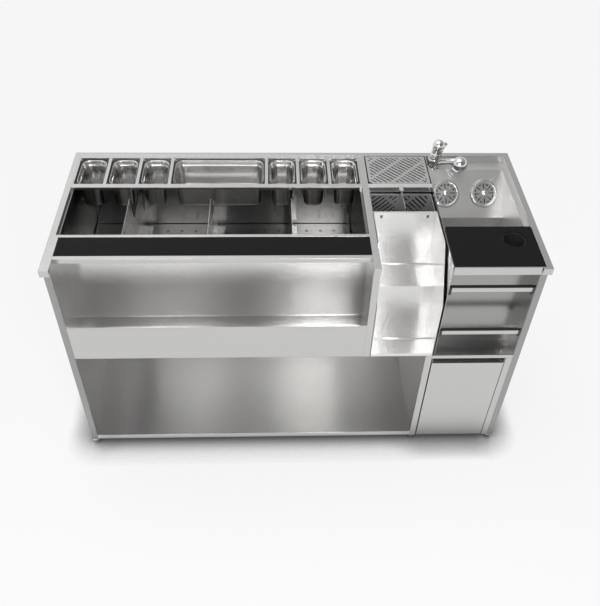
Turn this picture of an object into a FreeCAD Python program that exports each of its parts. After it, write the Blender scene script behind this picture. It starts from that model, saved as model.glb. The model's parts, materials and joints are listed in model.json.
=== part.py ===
"""Bar station: ice bin with garnish pans and speed rail, bottle rack and drainer, sink with tap.

Millimetres. X runs along the counter, Y to the rear, Z up; the origin is on the floor in the
middle of the footprint.
"""
import FreeCAD, Part
import math
import os
import Sketcher

doc = FreeCAD.newDocument("BarStation")
sheet = doc.addObject("Spreadsheet::Sheet", "Dims")

SIZES = [
    # the whole station
    ("overall_length", 1540, "rim to rim along the counter"),
    ("overall_depth", 620, "rim lip to rear rim"),
    ("rim_height", 895, "floor to the top of the rim"),
    ("gauge", 1.5, "sheet of the casing"),
    ("foot_height", 25, "floor to the bottom of the panels"),
    ("rim_width", 20, "flat of the rim"),
    ("rim_side_overhang", 8, "rim beyond the side panels"),
    ("rim_lip", 10, "rim beyond the front faces and the back"),
    ("rim_drop", 25, "turned-down edge of the rim"),
    ("post_width", 22, "front faces of panels and posts"),
    ("post_return", 25, "inner fold of the right front post"),
    ("body_bottom", 489, "underside of the speed rail and rack"),
    ("fit", 0.5, "gap round pieces that lift or slide"),
    # the ice bay
    ("bin_side_step", 8, "ledge inside the rim beside the ice"),
    ("bin_step_drop", 10, "rim top down to that ledge"),
    ("rail_depth", 142, "speed rail, front to rear"),
    ("bin_rear_step", 14, "ledge behind the ice"),
    ("bin_floor", 577, "top of the welded bin floor"),
    ("foam_front", 12, "insulation ahead of the bin"),
    ("foam_floor", 40, "insulation under the bin"),
    ("false_floor_rise", 23, "perforated floor above the bin floor"),
    ("floor_hole_radius", 5, "drain holes of the perforated floor"),
    ("floor_hole_pitch", 52, "spacing of those holes"),
    ("floor_hole_margin", 36, "least plain border beside a row of holes"),
    ("floor_play", 3, "gap round the perforated floor"),
    ("divider_top", 870, "top of an ice divider ahead of the pans"),
    ("divider_low", 774, "top of an ice divider under the pans"),
    ("divider_spacing", 270, "from one ice divider to the next"),
    ("divider_first", 186, "left bin wall to the first divider"),
    ("divider_foot", 30, "folded foot of an ice divider"),
    ("divider_play", 4, "gap before and behind an ice divider"),
    ("divider_corner", 12, "lower corners of an ice divider, cut to clear the bin's welds, along Y"),
    ("divider_corner_rise", 30, "the same corners, along Z"),
    ("bar_drain_radius", 20, "outside of the drain tails"),
    ("drain_wall", 3, "wall of the drain tails"),
    ("drain_tail", 60, "ice drain below the casing, for its hose"),
    ("hose_hole_radius", 34, "hole in the undershelf for that hose"),
    # the garnish pans
    ("pan_rail_depth", 187, "pan rail, front to rear"),
    ("pan_rail_width", 20, "front bar of the pan rail"),
    ("pan_pitch", 108, "one ninth-size pan and its bar"),
    ("pan_bar", 11, "bar between two pans"),
    ("pan_ledge", 4, "ledge that carries a pan flange"),
    ("pan_ledge_drop", 8, "rim top down to that ledge"),
    ("pan_lip", 6.5, "flat flange of a pan"),
    ("pan_depth", 100, "depth of every pan"),
    ("pan_corner", 22, "corner radius of a pan mouth"),
    ("pan_taper", 7, "how far a pan wall leans in"),
    ("pan_gauge", 1.0, "sheet of a pan"),
    # counter strip and speed rail
    ("bar_width", 12, "bright bar ahead of the ice"),
    ("mat_width", 88, "black strip on the counter"),
    ("mat_thickness", 10, "thickness of that strip"),
    ("counter_edge", 15, "bright edge ahead of the strip"),
    ("counter_lip", 17, "turned-down front of the counter"),
    ("rail_front_height", 150, "front panel of the speed rail"),
    ("rail_back_height", 56, "rear flange of the speed rail"),
    ("rail_hem", 6, "hem along the top of the rail front"),
    ("shelf_top", 50, "top of the undershelf"),
    ("shelf_lip", 21, "front lip of the undershelf"),
    # the middle bay
    ("right_bay_width", 284, "sink wall to the right rim"),
    ("middle_bay_width", 218, "ice partition to the sink wall"),
    ("tray_depth", 40, "drainer tray below the rim"),
    ("grid_thickness", 2, "slotted drainer plate"),
    ("grid_margin", 9, "plain border round the slots"),
    ("slot_width", 5, "width of a drainer slot"),
    ("slot_length", 54, "length of a drainer slot"),
    ("slot_bridge", 10, "metal between slots in line"),
    ("slot_pitch", 13.5, "from one line of slots to the next"),
    ("well_depth", 115, "bottle well, front to rear"),
    ("well_bar_gap", 6, "bottle well to the drainer's front bar"),
    ("well_drop", 23, "rim top down to the well edge"),
    ("bay_gap", 4, "gap beside the lift-out pieces"),
    ("rack_well_gap", 10.5, "bottle rack to the bottle well"),
    ("rack_top_inset", 113, "front face to where the rack side starts to slope"),
    ("rack_knee", 731, "height where that slope ends"),
    ("tier_height", 692, "upper bottle shelf"),
    ("tier_depth", 131.5, "lower tier, front to rear"),
    ("rod_radius", 3, "bottle rods"),
    ("rod_rise_upper", 95, "upper rod above its shelf"),
    ("rod_rise_lower", 82, "lower rod above its shelf"),
    # the sink
    ("ledge_drop", 25, "rim top down to the tap ledge"),
    ("ledge_depth", 48, "tap ledge"),
    ("sink_side_step", 10, "ledge inside the right rim"),
    ("slope_run", 122, "strainer slope, along Y"),
    ("slope_fall", 120, "strainer slope, along Z"),
    ("slope_skirt", 60, "drop below the slope"),
    ("sink_under_deck", 15, "sink front wall, ahead of the deck's rear edge"),
    ("sink_floor_fall", 6, "fall of the sink floor"),
    ("strainer_radius", 45, "basket strainer"),
    ("strainer_spacing", 138, "between the two strainers"),
    ("seat_radius", 51, "pressed ring round a strainer"),
    # the tap
    ("tap_inset", 27.5, "tap axis from the sink wall"),
    ("tap_radius", 20, "tap base"),
    ("tap_flange", 3, "flange under the tap"),
    ("tap_gap", 0.3, "gap between moving pieces of the tap"),
    ("barrel_foot", 24, "where the barrel's axis leaves the base"),
    ("barrel_radius", 19, "leaning barrel"),
    ("barrel_length", 62, "leaning barrel, foot to the lever's pin"),
    ("barrel_lean", 8, "lean of the barrel from upright, degrees"),
    ("cap_radius", 21.6, "lever cap"),
    ("cap_bore", 15.5, "hollow of the lever cap"),
    ("cap_skirt", 12, "lower edge of the cap, below its pin"),
    ("lever_reach", 30, "pin to the lever tip"),
    ("seat_depth", 26, "foot of the turning sleeve, below the pin"),
    ("pin_radius", 3.5, "cross pin that the lever tilts on"),
    ("stem_radius", 6, "stem that carries that pin"),
    ("collar_height", 33, "spout collar"),
    ("collar_wall", 4, "spout collar"),
    ("collar_fit", 0.08, "radial fit of the collar on the neck"),
    ("spout_root", 14.5, "arm's axis above the ledge at the tap"),
    ("spout_radius", 12, "spout arm"),
    ("spout_rise", 19, "rise of the arm, degrees"),
    ("spout_reach", 92, "tap axis to the outlet"),
    ("spout_angle", 24, "spout turned to the front, degrees"),
    ("outlet_radius", 27.5, "bulb at the outlet"),
    ("outlet_drop", 13.5, "bulb's middle below the arm's axis"),
    # board, chute and recess
    ("board_thickness", 13.5, "black cutting board"),
    ("deck_depth", 190, "deck under the board, behind the front face"),
    ("board_overhang", 3, "board behind its deck"),
    ("deck_front_rise", 4, "deck front ahead of the posts"),
    ("deck_front_height", 29, "front rail under the board"),
    ("chute_from_rim", 68, "waste chute axis from the right rim"),
    ("chute_from_front", 130, "waste chute axis from the front face"),
    ("chute_radius", 30, "waste chute tube"),
    ("collar_radius", 36.5, "mouth of the chute"),
    ("chute_wall", 2, "wall of the chute"),
    ("chute_bottom", 455, "lower end of the chute"),
    ("recess_depth", 70, "recess under the board"),
    ("bar_height", 17, "front face of a retaining bar"),
    ("bar_depth", 14, "top of a retaining bar"),
    ("bar_level_upper", 807, "top of the upper retaining bar"),
    ("bar_level_lower", 612, "top of the lower retaining bar"),
    # the waste drawer
    ("top_fold", 15, "front fold of the cabinet top"),
    ("drawer_width", 250, "drawer front"),
    ("drawer_front_depth", 24, "thickness of the drawer front"),
    ("pull_height", 24, "finger recess along the drawer top"),
    ("pull_depth", 18, "floor of that recess below its lip"),
    ("drawer_length", 376, "drawer front to the end of its slides"),
    ("runner_height", 12, "fixed runner"),
    ("slide_height", 10, "moving slide"),
    ("tray_side", 40, "side of the drawer tray"),
    ("waste_bin_height", 386, "plastic waste bin"),
    ("waste_bin_length", 248, "waste bin, front to rear"),
    ("waste_bin_wall", 2.5, "wall of the waste bin"),
    ("waste_bin_taper", 13, "how far its walls lean in"),
    ("foot_radius", 15, "foot pad"),
    ("foot_stem", 7, "foot stem radius"),
    ("plug_length", 28, "plug that holds a foot in its panel"),
]

for row, (alias, value, meaning) in enumerate(SIZES, start=1):
    sheet.set(f"A{row}", alias)
    sheet.set(f"B{row}", str(value))
    sheet.set(f"C{row}", meaning)
    sheet.setAlias(f"B{row}", alias)
doc.recompute()


class Size:
    """A length that knows its value and the sheet expression that gives it."""

    def __init__(self, value, text):
        self.value = float(value)
        self.text = text

    def __add__(self, other):
        other = size(other)
        return Size(self.value + other.value, f"({self.text} + {other.text})")

    def __sub__(self, other):
        other = size(other)
        return Size(self.value - other.value, f"({self.text} - {other.text})")

    def __mul__(self, factor):
        return Size(self.value * factor, f"({self.text} * {factor:.9g})")

    def __truediv__(self, divisor):
        return Size(self.value / divisor, f"({self.text} / {divisor:.9g})")

    def __neg__(self):
        return Size(-self.value, f"(-1 * {self.text})")

    def __radd__(self, other):
        return size(other) + self

    def __rsub__(self, other):
        return size(other) - self

    __rmul__ = __mul__


def size(number):
    """A plain number as a Size, and a Size as it is."""
    if isinstance(number, Size):
        return number
    return Size(number, f"({number:.9g})")


class Named:
    """The sizes of the sheet, by name."""


d = Named()
for alias, value, meaning in SIZES:
    setattr(d, alias, Size(value, f"Dims.{alias}"))


# ---------------------------------------------------------------- places
right = d.overall_length / 2
rear = d.overall_depth / 2
top = d.rim_height
under_rim = top - d.gauge
panel = right - d.rim_side_overhang
skin = panel - d.gauge
face = -(rear - d.rim_lip)
behind_face = face + d.gauge
back = rear - d.rim_lip
back_inner = back - d.gauge
rim_in = right - d.rim_width
rim_rear = rear - d.rim_width
post_in = panel - d.post_width

sink_wall = rim_in - d.right_bay_width
middle_left = sink_wall - d.middle_bay_width
bin_left = -rim_in
bin_right = middle_left - d.post_width
sink_left = sink_wall + d.gauge
cabinet_left = sink_wall - 4
post_left = cabinet_left - d.post_width
deck_split = (post_left + cabinet_left) / 2

tub_left = bin_left + d.bin_side_step
tub_right = bin_right - d.bin_side_step
casing_front = face + d.rail_depth
tub_front = casing_front + d.foam_front + d.gauge * 2
bin_rear = rim_rear - d.bin_rear_step
tub_top = top - d.bin_step_drop
casing_floor = d.bin_floor - d.gauge * 2 - d.foam_floor
false_floor = d.bin_floor + d.false_floor_rise
ice_drain_x, ice_drain_y = tub_left + 80, bin_rear - 60

middle_right = sink_wall
pan_rail_front = rim_rear - d.pan_rail_depth
pan_front = pan_rail_front + d.pan_rail_width
pan_rear = bin_rear
well_rear = pan_rail_front - d.well_bar_gap
well_front = well_rear - d.well_depth
rack_rear = well_front - d.rack_well_gap
rack_slope = face + d.rack_top_inset
tier_front = face + d.tier_depth

slope_top_y = rim_rear - d.ledge_depth
ledge_top = top - d.ledge_drop
slope_foot_y = slope_top_y - d.slope_run
slope_foot_z = ledge_top - d.slope_fall
sink_floor = slope_foot_z - d.slope_skirt
sink_right = rim_in - d.sink_side_step
deck_top = top - d.board_thickness
deck_face = face - d.deck_front_rise
deck_rear = face + d.deck_depth
board_rear = deck_rear + d.board_overhang
sink_front = deck_rear - d.sink_under_deck
chute_x = rim_in - d.chute_from_rim
chute_y = face + d.chute_from_front
recess_back = face + d.recess_depth
cabinet_top_z = d.body_bottom
floor_plate = d.foot_height + 4


# ---------------------------------------------------------------- ways of making a piece
def bind(thing, prop, length):
    """Tie one property of a document object to the sheet."""
    thing.setExpression(prop, size(length).text)


def move(thing, x, y, z):
    for axis, place in zip("xyz", (x, y, z)):
        bind(thing, f"Placement.Base.{axis}", place)
    return thing


def box(name, xs, ys, zs):
    """A block between two places along each axis."""
    block = doc.addObject("Part::Box", name)
    for prop, (low, high) in zip(("Length", "Width", "Height"), (xs, ys, zs)):
        bind(block, prop, size(high) - low)
    return move(block, xs[0], ys[0], zs[0])


def rod(name, radius, start, length, axis="z"):
    """A round bar from its start along one axis."""
    bar = doc.addObject("Part::Cylinder", name)
    turns = {"z": ((0, 0, 1), 0), "x": ((0, 1, 0), 90), "y": ((1, 0, 0), -90)}
    direction, degrees = turns[axis]
    bar.Placement = FreeCAD.Placement(FreeCAD.Vector(), FreeCAD.Rotation(FreeCAD.Vector(*direction), degrees))
    bind(bar, "Radius", radius)
    bind(bar, "Height", length)
    return move(bar, *start)


def fuse(name, *pieces):
    whole = doc.addObject("Part::MultiFuse", name)
    whole.Shapes = list(pieces)
    whole.Refine = True
    return whole


def cut(name, base, *tools):
    """The base with every tool taken away."""
    result = doc.addObject("Part::Cut", name)
    result.Base = base
    result.Tool = tools[0] if len(tools) == 1 else fuse(name + "_tools", *tools)
    result.Refine = True
    return result


def new_sketch(body, plane, offset):
    """A sketch on one of the body's own planes, moved along the plane's normal."""
    sketch = body.newObject("Sketcher::SketchObject", body.Name + "_sketch")
    origin_plane = [o for o in body.Origin.OriginFeatures if o.Role == plane][0]
    sketch.AttachmentSupport = [(origin_plane, "")]
    sketch.MapMode = "FlatFace"
    bind(sketch, "AttachmentOffset.Base.z", offset)
    return sketch


def pin_point(sketch, line, end, u, v):
    """Give one end of a line its two coordinates."""
    for kind, place in (("DistanceX", u), ("DistanceY", v)):
        index = sketch.addConstraint(Sketcher.Constraint(kind, -1, 1, line, end, size(place).value))
        bind(sketch, f"Constraints[{index}]", place)


def draw_polygon(sketch, points):
    """A closed outline whose corners are tied to the sheet."""
    vectors = [FreeCAD.Vector(size(u).value, size(v).value, 0) for u, v in points]
    first = sketch.GeometryCount
    count = len(points)
    for i in range(count):
        sketch.addGeometry(Part.LineSegment(vectors[i], vectors[(i + 1) % count]), False)
    for i in range(count):
        sketch.addConstraint(Sketcher.Constraint("Coincident", first + i, 2, first + (i + 1) % count, 1))
        pin_point(sketch, first + i, 1, *points[i])


def rounded(us, vs, radius, steps):
    """The outline of a rectangle whose corners turn in a few equal steps."""
    r = size(radius)
    centres = [(us[1] - r, vs[0] + r), (us[1] - r, vs[1] - r), (us[0] + r, vs[1] - r), (us[0] + r, vs[0] + r)]
    points = []
    for corner, (u, v) in enumerate(centres):
        for step in range(steps + 1):
            angle = math.radians(90 * (corner - 1 + step / steps))
            points.append((u + r * math.cos(angle), v + r * math.sin(angle)))
    return points


def polygon(u, v, radius, sides):
    """A regular outline round a place."""
    angles = [2 * math.pi * (k + 0.5) / sides for k in range(sides)]
    return [(u + size(radius) * math.cos(angle), v + size(radius) * math.sin(angle)) for angle in angles]


def ball_profile(radius, first, last, steps):
    """Points (radius, height) on a ball, between two angles from its top in degrees."""
    angles = [math.radians(first + (last - first) * k / steps) for k in range(steps + 1)]
    return [(size(radius) * math.sin(angle), size(radius) * math.cos(angle)) for angle in angles]


def vector(u, v):
    return FreeCAD.Vector(size(u).value, size(v).value, 0)


def pad(body, sketch, length):
    feature = body.newObject("PartDesign::Pad", body.Name + "_pad")
    feature.Profile = sketch
    bind(feature, "Length", length)
    return feature


def prism(name, axis, outlines, low, high):
    """A body of one section, from low to high along an axis; more outlines are holes in the section."""
    body = doc.addObject("PartDesign::Body", name)
    plane, offset = {
        "x": ("YZ_Plane", size(low)),
        "y": ("XZ_Plane", -size(high)),
        "z": ("XY_Plane", size(low)),
    }[axis]
    sketch = new_sketch(body, plane, offset)
    for outline in outlines:
        draw_polygon(sketch, outline)
    pad(body, sketch, size(high) - low)
    return body


def rectangle(us, vs):
    return [(us[0], vs[0]), (us[1], vs[0]), (us[1], vs[1]), (us[0], vs[1])]


def folded(path, gauge, side):
    """The section of a sheet bent along a path, with its thickness to one side (1 left, -1 right)."""
    flat = [(size(u).value, size(v).value) for u, v in path]
    normals = []
    for (u0, v0), (u1, v1) in zip(flat, flat[1:]):
        run = math.hypot(u1 - u0, v1 - v0)
        normals.append((-(v1 - v0) / run * side, (u1 - u0) / run * side))
    inner = []
    for i, (u, v) in enumerate(path):
        before = normals[max(i - 1, 0)]
        after = normals[min(i, len(normals) - 1)]
        share = 1 + before[0] * after[0] + before[1] * after[1]
        shift = [(before[k] + after[k]) / share for k in (0, 1)]
        inner.append((size(u) + gauge * shift[0], size(v) + gauge * shift[1]))
    return list(path) + inner[::-1]


def turned(name, profile, place):
    """A body turned about its own Z axis, standing at a place; profile points are (radius, height)."""
    body = doc.addObject("PartDesign::Body", name)
    sketch = new_sketch(body, "XZ_Plane", 0)
    draw_polygon(sketch, profile)
    feature = body.newObject("PartDesign::Revolution", body.Name + "_turn")
    feature.Profile = sketch
    feature.ReferenceAxis = (sketch, ["V_Axis"])
    feature.Angle = 360
    return move(body, *place)


def flat_faced(name, rings):
    """A solid with flat faces through rings of equal count; it closes on itself or is capped at its ends."""
    faces = []
    pairs = list(zip(rings, rings[1:]))
    for low, high in pairs:
        for k in range(len(low)):
            after = (k + 1) % len(low)
            corners = [low[k], low[after], high[after], high[k]]
            apart = [p for i, p in enumerate(corners) if (p - corners[i - 1]).Length > 1e-6]
            if len(apart) > 2:
                faces.append(Part.Face(Part.makePolygon(apart + apart[:1])))
    if (rings[0][0] - rings[-1][0]).Length > 1e-6:
        for ring in (rings[0], rings[-1]):
            if (ring[0] - ring[1]).Length > 1e-6:
                faces.append(Part.Face(Part.makePolygon(ring + ring[:1])))
    shell = Part.makeShell(faces)
    shell.sewShape()
    solid = Part.makeSolid(shell)
    if solid.Volume < 0:
        solid.reverse()
    block = doc.addObject("Part::Feature", name)
    block.Shape = solid.removeSplitter()
    return block


def level_rings(outlines):
    """Outlines with their heights as rings of points."""
    return [[FreeCAD.Vector(size(u).value, size(v).value, size(z).value) for u, v in outline]
            for outline, z in outlines]


def many_sided(name, profile, place, sides):
    """Like a turned piece, but with flat sides; profile points are (radius, height)."""
    outlines = [(polygon(0, 0, radius, sides), height) for radius, height in profile]
    block = flat_faced(name, level_rings(outlines + outlines[:1]))
    return move(block, *place)


nodes = {}


def keep(name, thing):
    """Name a finished sub-part."""
    thing.Label = name
    nodes[name] = thing
    return thing


# ---------------------------------------------------------------- casing
def make_side_panels():
    """Each side is one sheet folded into its front post; the left fold runs back to the bin."""
    left = folded([(-post_in, casing_front), (-post_in, face), (-panel, face), (-panel, back_inner)],
                  d.gauge, -1)
    keep("left_side_panel", prism("left_panel", "z", [left], d.foot_height, under_rim))
    fold = face + d.post_return
    right_path = folded([(post_in, fold), (post_in, face), (panel, face), (panel, back_inner)], d.gauge, 1)
    whole = prism("right_panel_sheet", "z", [right_path], d.foot_height, under_rim)
    notch = box("board_notch", (post_in - 1, rim_in), (face - 1, fold + 1), (deck_top, top))
    keep("right_side_panel", cut("right_panel", whole, notch))


def make_back_panel():
    keep("back_panel", box("back_sheet", (-panel, panel), (back_inner, back), (d.foot_height, under_rim)))


def make_top_rim():
    """An inverted channel round three sides, open to the front."""
    lower = top - d.rim_drop
    shell = box("rim_block", (-right, right), (-rear, rear), (lower, top))
    inner_right, inner_rear = right - d.gauge, rear - d.gauge
    hollow = box("rim_hollow", (-inner_right, inner_right), (-inner_rear, inner_rear), (lower - 1, under_rim))
    bays = box("rim_bays", (-rim_in, rim_in), (tub_front, rim_rear), (lower - 1, top + 1))
    fronts = box("rim_fronts", (-post_in, rim_in), (face, tub_front + 1), (lower - 1, top + 1))
    mouth = box("rim_mouth", (-post_in, post_in), (-rear - 1, face + 1), (lower - 1, top + 1))
    keep("top_rim", cut("rim", shell, hollow, bays, fronts, mouth))


def make_partitions():
    """The hollow wall beside the ice with its capped top, and the single sheet beside the sink."""
    section = [rectangle((bin_right, middle_left), (face, rim_rear)),
               rectangle((bin_right + d.gauge, middle_left - d.gauge), (behind_face, rim_rear - d.gauge))]
    wall = prism("ice_wall", "z", section, d.body_bottom, under_rim)
    cap = box("ice_wall_cap", (bin_right, middle_left), (-rear, rim_rear), (under_rim, top))
    lip = box("ice_wall_lip", (bin_right, middle_left), (-rear, -rear + d.gauge), (top - d.rim_drop, top))
    keep("partition_left", fuse("partition_left_sheet", wall, cap, lip))
    keep("partition_right", box("sink_side_sheet", (sink_wall, sink_left), (face, rim_rear),
                                (d.body_bottom, top)))


def make_lower_frame():
    """Middle panel, undershelf, decks and the cabinet's floor and post."""
    section = [rectangle((post_left, cabinet_left), (face, back_inner)),
               rectangle((post_left + d.gauge, cabinet_left - d.gauge), (behind_face, back_inner - d.gauge))]
    keep("middle_panel", prism("middle_sheet", "z", section, d.foot_height, d.body_bottom - d.gauge))

    outline = [(-post_in, behind_face), (post_left, behind_face), (post_left, back_inner), (-skin, back_inner),
               (-skin, casing_front), (-post_in, casing_front)]
    plate = prism("shelf_plate", "z", [outline], d.shelf_top - d.gauge, d.shelf_top)
    lip = box("shelf_front", (-post_in, post_left), (face, behind_face), (d.shelf_top - d.shelf_lip, d.shelf_top))
    hem = box("shelf_rear", (-skin, post_left), (back_inner - d.gauge, back_inner),
              (d.shelf_top - d.shelf_lip, d.shelf_top - d.gauge))
    hole = rod("hose_hole", d.hose_hole_radius, (ice_drain_x, ice_drain_y, d.shelf_top - 5), size(10))
    keep("undershelf", cut("undershelf_cut", fuse("undershelf_sheet", plate, lip, hem), hole))

    keep("middle_deck", box("rack_deck", (bin_right, deck_split), (face, back_inner),
                            (d.body_bottom - d.gauge, d.body_bottom)))
    level = (cabinet_top_z - d.gauge, cabinet_top_z)
    plate = box("cabinet_plate", (deck_split, skin), (face + d.post_return, back_inner), level)
    front = box("cabinet_front", (deck_split, post_in), (face, face + d.post_return), level)
    fold = box("cabinet_fold", (cabinet_left, post_in), (face, behind_face), (cabinet_top_z - d.top_fold, level[0]))
    hole = rod("cabinet_hole", d.chute_radius + d.fit, (chute_x, chute_y, cabinet_top_z - 5), size(10))
    keep("cabinet_top", cut("cabinet_top_sheet", fuse("cabinet_sheets", plate, front, fold), hole))

    post_depth = size(40)
    door_post = folded([(post_in - d.post_width, face + post_depth), (post_in - d.post_width, face),
                        (post_in, face), (post_in, face + d.post_return)], d.gauge, 1)
    keep("door_post", prism("door_post_sheet", "z", [door_post], d.foot_height, cabinet_top_z - d.top_fold))
    plate = box("cabinet_floor_plate", (cabinet_left, skin), (face + post_depth + 2, back_inner),
                (floor_plate, floor_plate + d.gauge))
    corner = box("cabinet_floor_corner", (post_in, skin + 1), (back_inner - d.plug_length - 6, back_inner + 1),
                 (floor_plate - 1, floor_plate + 5))
    keep("cabinet_floor", cut("cabinet_floor_sheet", plate, corner))


def make_feet():
    """Six levelling feet, each with a stem and a plug pushed up into its panel."""
    feet = []
    plug_half = d.post_width / 2 - d.gauge
    half = d.plug_length / 2
    across = [-panel + d.post_width / 2, (post_left + cabinet_left) / 2, panel - d.post_width / 2]
    for column, x in enumerate(across):
        for line, y in enumerate((face + 18, back_inner - 18)):
            name = f"foot_{column}_{line}"
            pad_disc = prism(name + "_pad", "z", [polygon(x, y, d.foot_radius, 8)], 0, 7)
            stem = prism(name + "_stem", "z", [polygon(x, y, d.foot_stem, 6)], 6, d.foot_height + 1)
            plug = box(name + "_plug", (x - plug_half, x + plug_half), (y - half, y + half),
                       (d.foot_height, d.foot_height + 22))
            feet.append(fuse(name, pad_disc, stem, plug))
    group = doc.addObject("Part::Compound", "feet")
    group.Links = feet
    keep("levelling_feet", group)


# ---------------------------------------------------------------- ice bay
def make_ice_bin():
    """The welded tub with a ledge round its mouth, its foam jacket and its outer casing."""
    t = d.gauge
    outer = box("tub_block", (tub_left - t, tub_right + t), (tub_front - t, bin_rear + t),
                (d.bin_floor - t, tub_top))
    inner = box("tub_space", (tub_left, tub_right), (tub_front, bin_rear), (d.bin_floor, tub_top + 1))
    bowl = cut("tub_bowl", outer, inner)
    level = (tub_top - t, tub_top)
    stand = (tub_top - t, under_rim)
    pieces = [
        bowl,
        box("tub_ledge_left", (bin_left, tub_left - t), (tub_front - t, rim_rear), level),
        box("tub_stand_left", (bin_left - t, bin_left), (tub_front - t, rim_rear + t), stand),
        box("tub_ledge_right", (tub_right + t, bin_right), (tub_front - t, rim_rear), level),
        box("tub_ledge_rear", (tub_left - t, tub_right + t), (bin_rear + t, rim_rear), level),
        box("tub_stand_rear", (bin_left - t, bin_right), (rim_rear, rim_rear + t), stand),
    ]
    r = d.bar_drain_radius
    body = r + 2
    hole = rod("tub_hole", body + d.fit, (ice_drain_x, ice_drain_y, d.bin_floor - 5), size(10))
    keep("ice_bin_tub", cut("tub", fuse("tub_sheets", *pieces), hole))

    foam_top = tub_top - t - 4
    jacket = box("foam_block", (-skin, bin_right), (casing_front + t, back_inner), (casing_floor + t, foam_top))
    space = box("foam_space", (tub_left - t, tub_right + t), (tub_front - t, bin_rear + t),
                (d.bin_floor - t, foam_top + 1))
    tail = rod("foam_hole", body + d.fit, (ice_drain_x, ice_drain_y, casing_floor), d.foam_floor + 10)
    keep("ice_bin_insulation", cut("foam", jacket, space, tail))

    section = folded([(casing_front, tub_top - t), (casing_front, casing_floor), (back_inner, casing_floor)], t, 1)
    sheet_body = prism("casing_sheet", "x", [section], -skin, bin_right)
    tail = rod("casing_hole", body + d.fit, (ice_drain_x, ice_drain_y, casing_floor - 5), size(20))
    keep("ice_bin_casing", cut("casing", sheet_body, tail))

    rise = d.bin_floor - casing_floor
    end = rise + d.drain_tail
    fitting = many_sided("ice_drain_fitting", [
        (0, 2.5), (r + 9, 2.5), (r + 9, 0), (body, 0), (body, -rise), (0, -rise)],
        (ice_drain_x, ice_drain_y, d.bin_floor), 24)
    tail = rod("ice_drain_tail", r, (ice_drain_x, ice_drain_y, d.bin_floor - end), d.drain_tail + 1)
    bore = rod("ice_drain_bore", r - d.drain_wall, (ice_drain_x, ice_drain_y, d.bin_floor - end - 1), end + 10)
    keep("ice_drain", cut("ice_drain_solid", fuse("ice_drain_outer", fitting, tail), bore))


def make_false_floor():
    """A perforated plate on folded legs, lying in the bin."""
    front, back_edge = tub_front + d.floor_play, bin_rear - d.floor_play
    left, end = tub_left + d.floor_play, tub_right - d.floor_play
    path = [(front, d.bin_floor), (front, false_floor), (back_edge, false_floor), (back_edge, d.bin_floor)]
    body = prism("false_floor", "x", [folded(path, d.gauge, -1)], left, end)
    doc.recompute()
    holes = new_sketch(body, "XY_Plane", false_floor + 2)
    span = (end - left - d.floor_hole_margin * 2).value
    gaps = int(span / d.floor_hole_pitch.value)
    first_x = (left + end - d.floor_hole_pitch * gaps) / 2
    for y in (bin_rear - 44, (tub_front + bin_rear) / 2):
        draw_polygon(holes, polygon(first_x, y, d.floor_hole_radius, 6))
    pocket = body.newObject("PartDesign::Pocket", "false_floor_holes")
    pocket.Profile = holes
    bind(pocket, "Length", d.gauge + 4)
    pattern = body.newObject("PartDesign::LinearPattern", "false_floor_rows")
    pattern.Originals = [pocket]
    pattern.Direction = (holes, ["H_Axis"])
    bind(pattern, "Length", d.floor_hole_pitch * gaps)
    pattern.Occurrences = gaps + 1
    body.Tip = pattern
    keep("ice_false_floor", body)


def make_ice_dividers():
    """Upright plates with a folded foot; the rear is cut low to slide under the pans."""
    t = d.gauge
    front_edge, rear_edge = tub_front + d.divider_play, bin_rear - d.divider_play
    step = pan_rail_front - 8
    foot_front, foot_rear = front_edge + d.divider_corner, rear_edge - d.divider_corner
    corner = false_floor + d.divider_corner_rise
    outline = [(foot_front, false_floor), (foot_rear, false_floor), (rear_edge, corner), (rear_edge, d.divider_low),
               (step, d.divider_low), (step - 22, d.divider_top), (front_edge, d.divider_top), (front_edge, corner)]
    for number in range(3):
        x = tub_left + d.divider_first + d.divider_spacing * number
        plate = prism(f"divider_plate_{number + 1}", "x", [outline], x, x + t)
        foot = box(f"divider_foot_{number + 1}", (x + t, x + d.divider_foot), (foot_front, foot_rear),
                   (false_floor, false_floor + t))
        keep(f"ice_divider_{number + 1}", fuse(f"divider_{number + 1}", plate, foot))


def pan_slots():
    """Where each pan hangs: three small, one wide, three small."""
    slots = []
    edge = bin_left
    wide = bin_right - bin_left - d.pan_pitch * 6
    for number in range(7):
        pitch = wide if number == 3 else d.pan_pitch
        slots.append((edge + d.pan_bar / 2, edge + pitch - d.pan_bar / 2))
        edge = edge + pitch
    return slots


def make_pan_rail():
    """The frame that the pans hang in, with a ledge round every slot."""
    frame = box("rail_frame", (bin_left, bin_right), (pan_rail_front, rim_rear), (tub_top, top))
    spaces = []
    for number, (x0, x1) in enumerate(pan_slots()):
        ledge = d.pan_ledge
        spaces.append(box(f"slot_{number}", (x0 + ledge, x1 - ledge), (pan_front + ledge, pan_rear - ledge),
                          (tub_top - 1, top + 1)))
        spaces.append(box(f"slot_seat_{number}", (x0, x1), (pan_front, pan_rear), (top - d.pan_ledge_drop, top + 1)))
    keep("pan_rail", cut("rail_bars", frame, *spaces))


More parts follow.
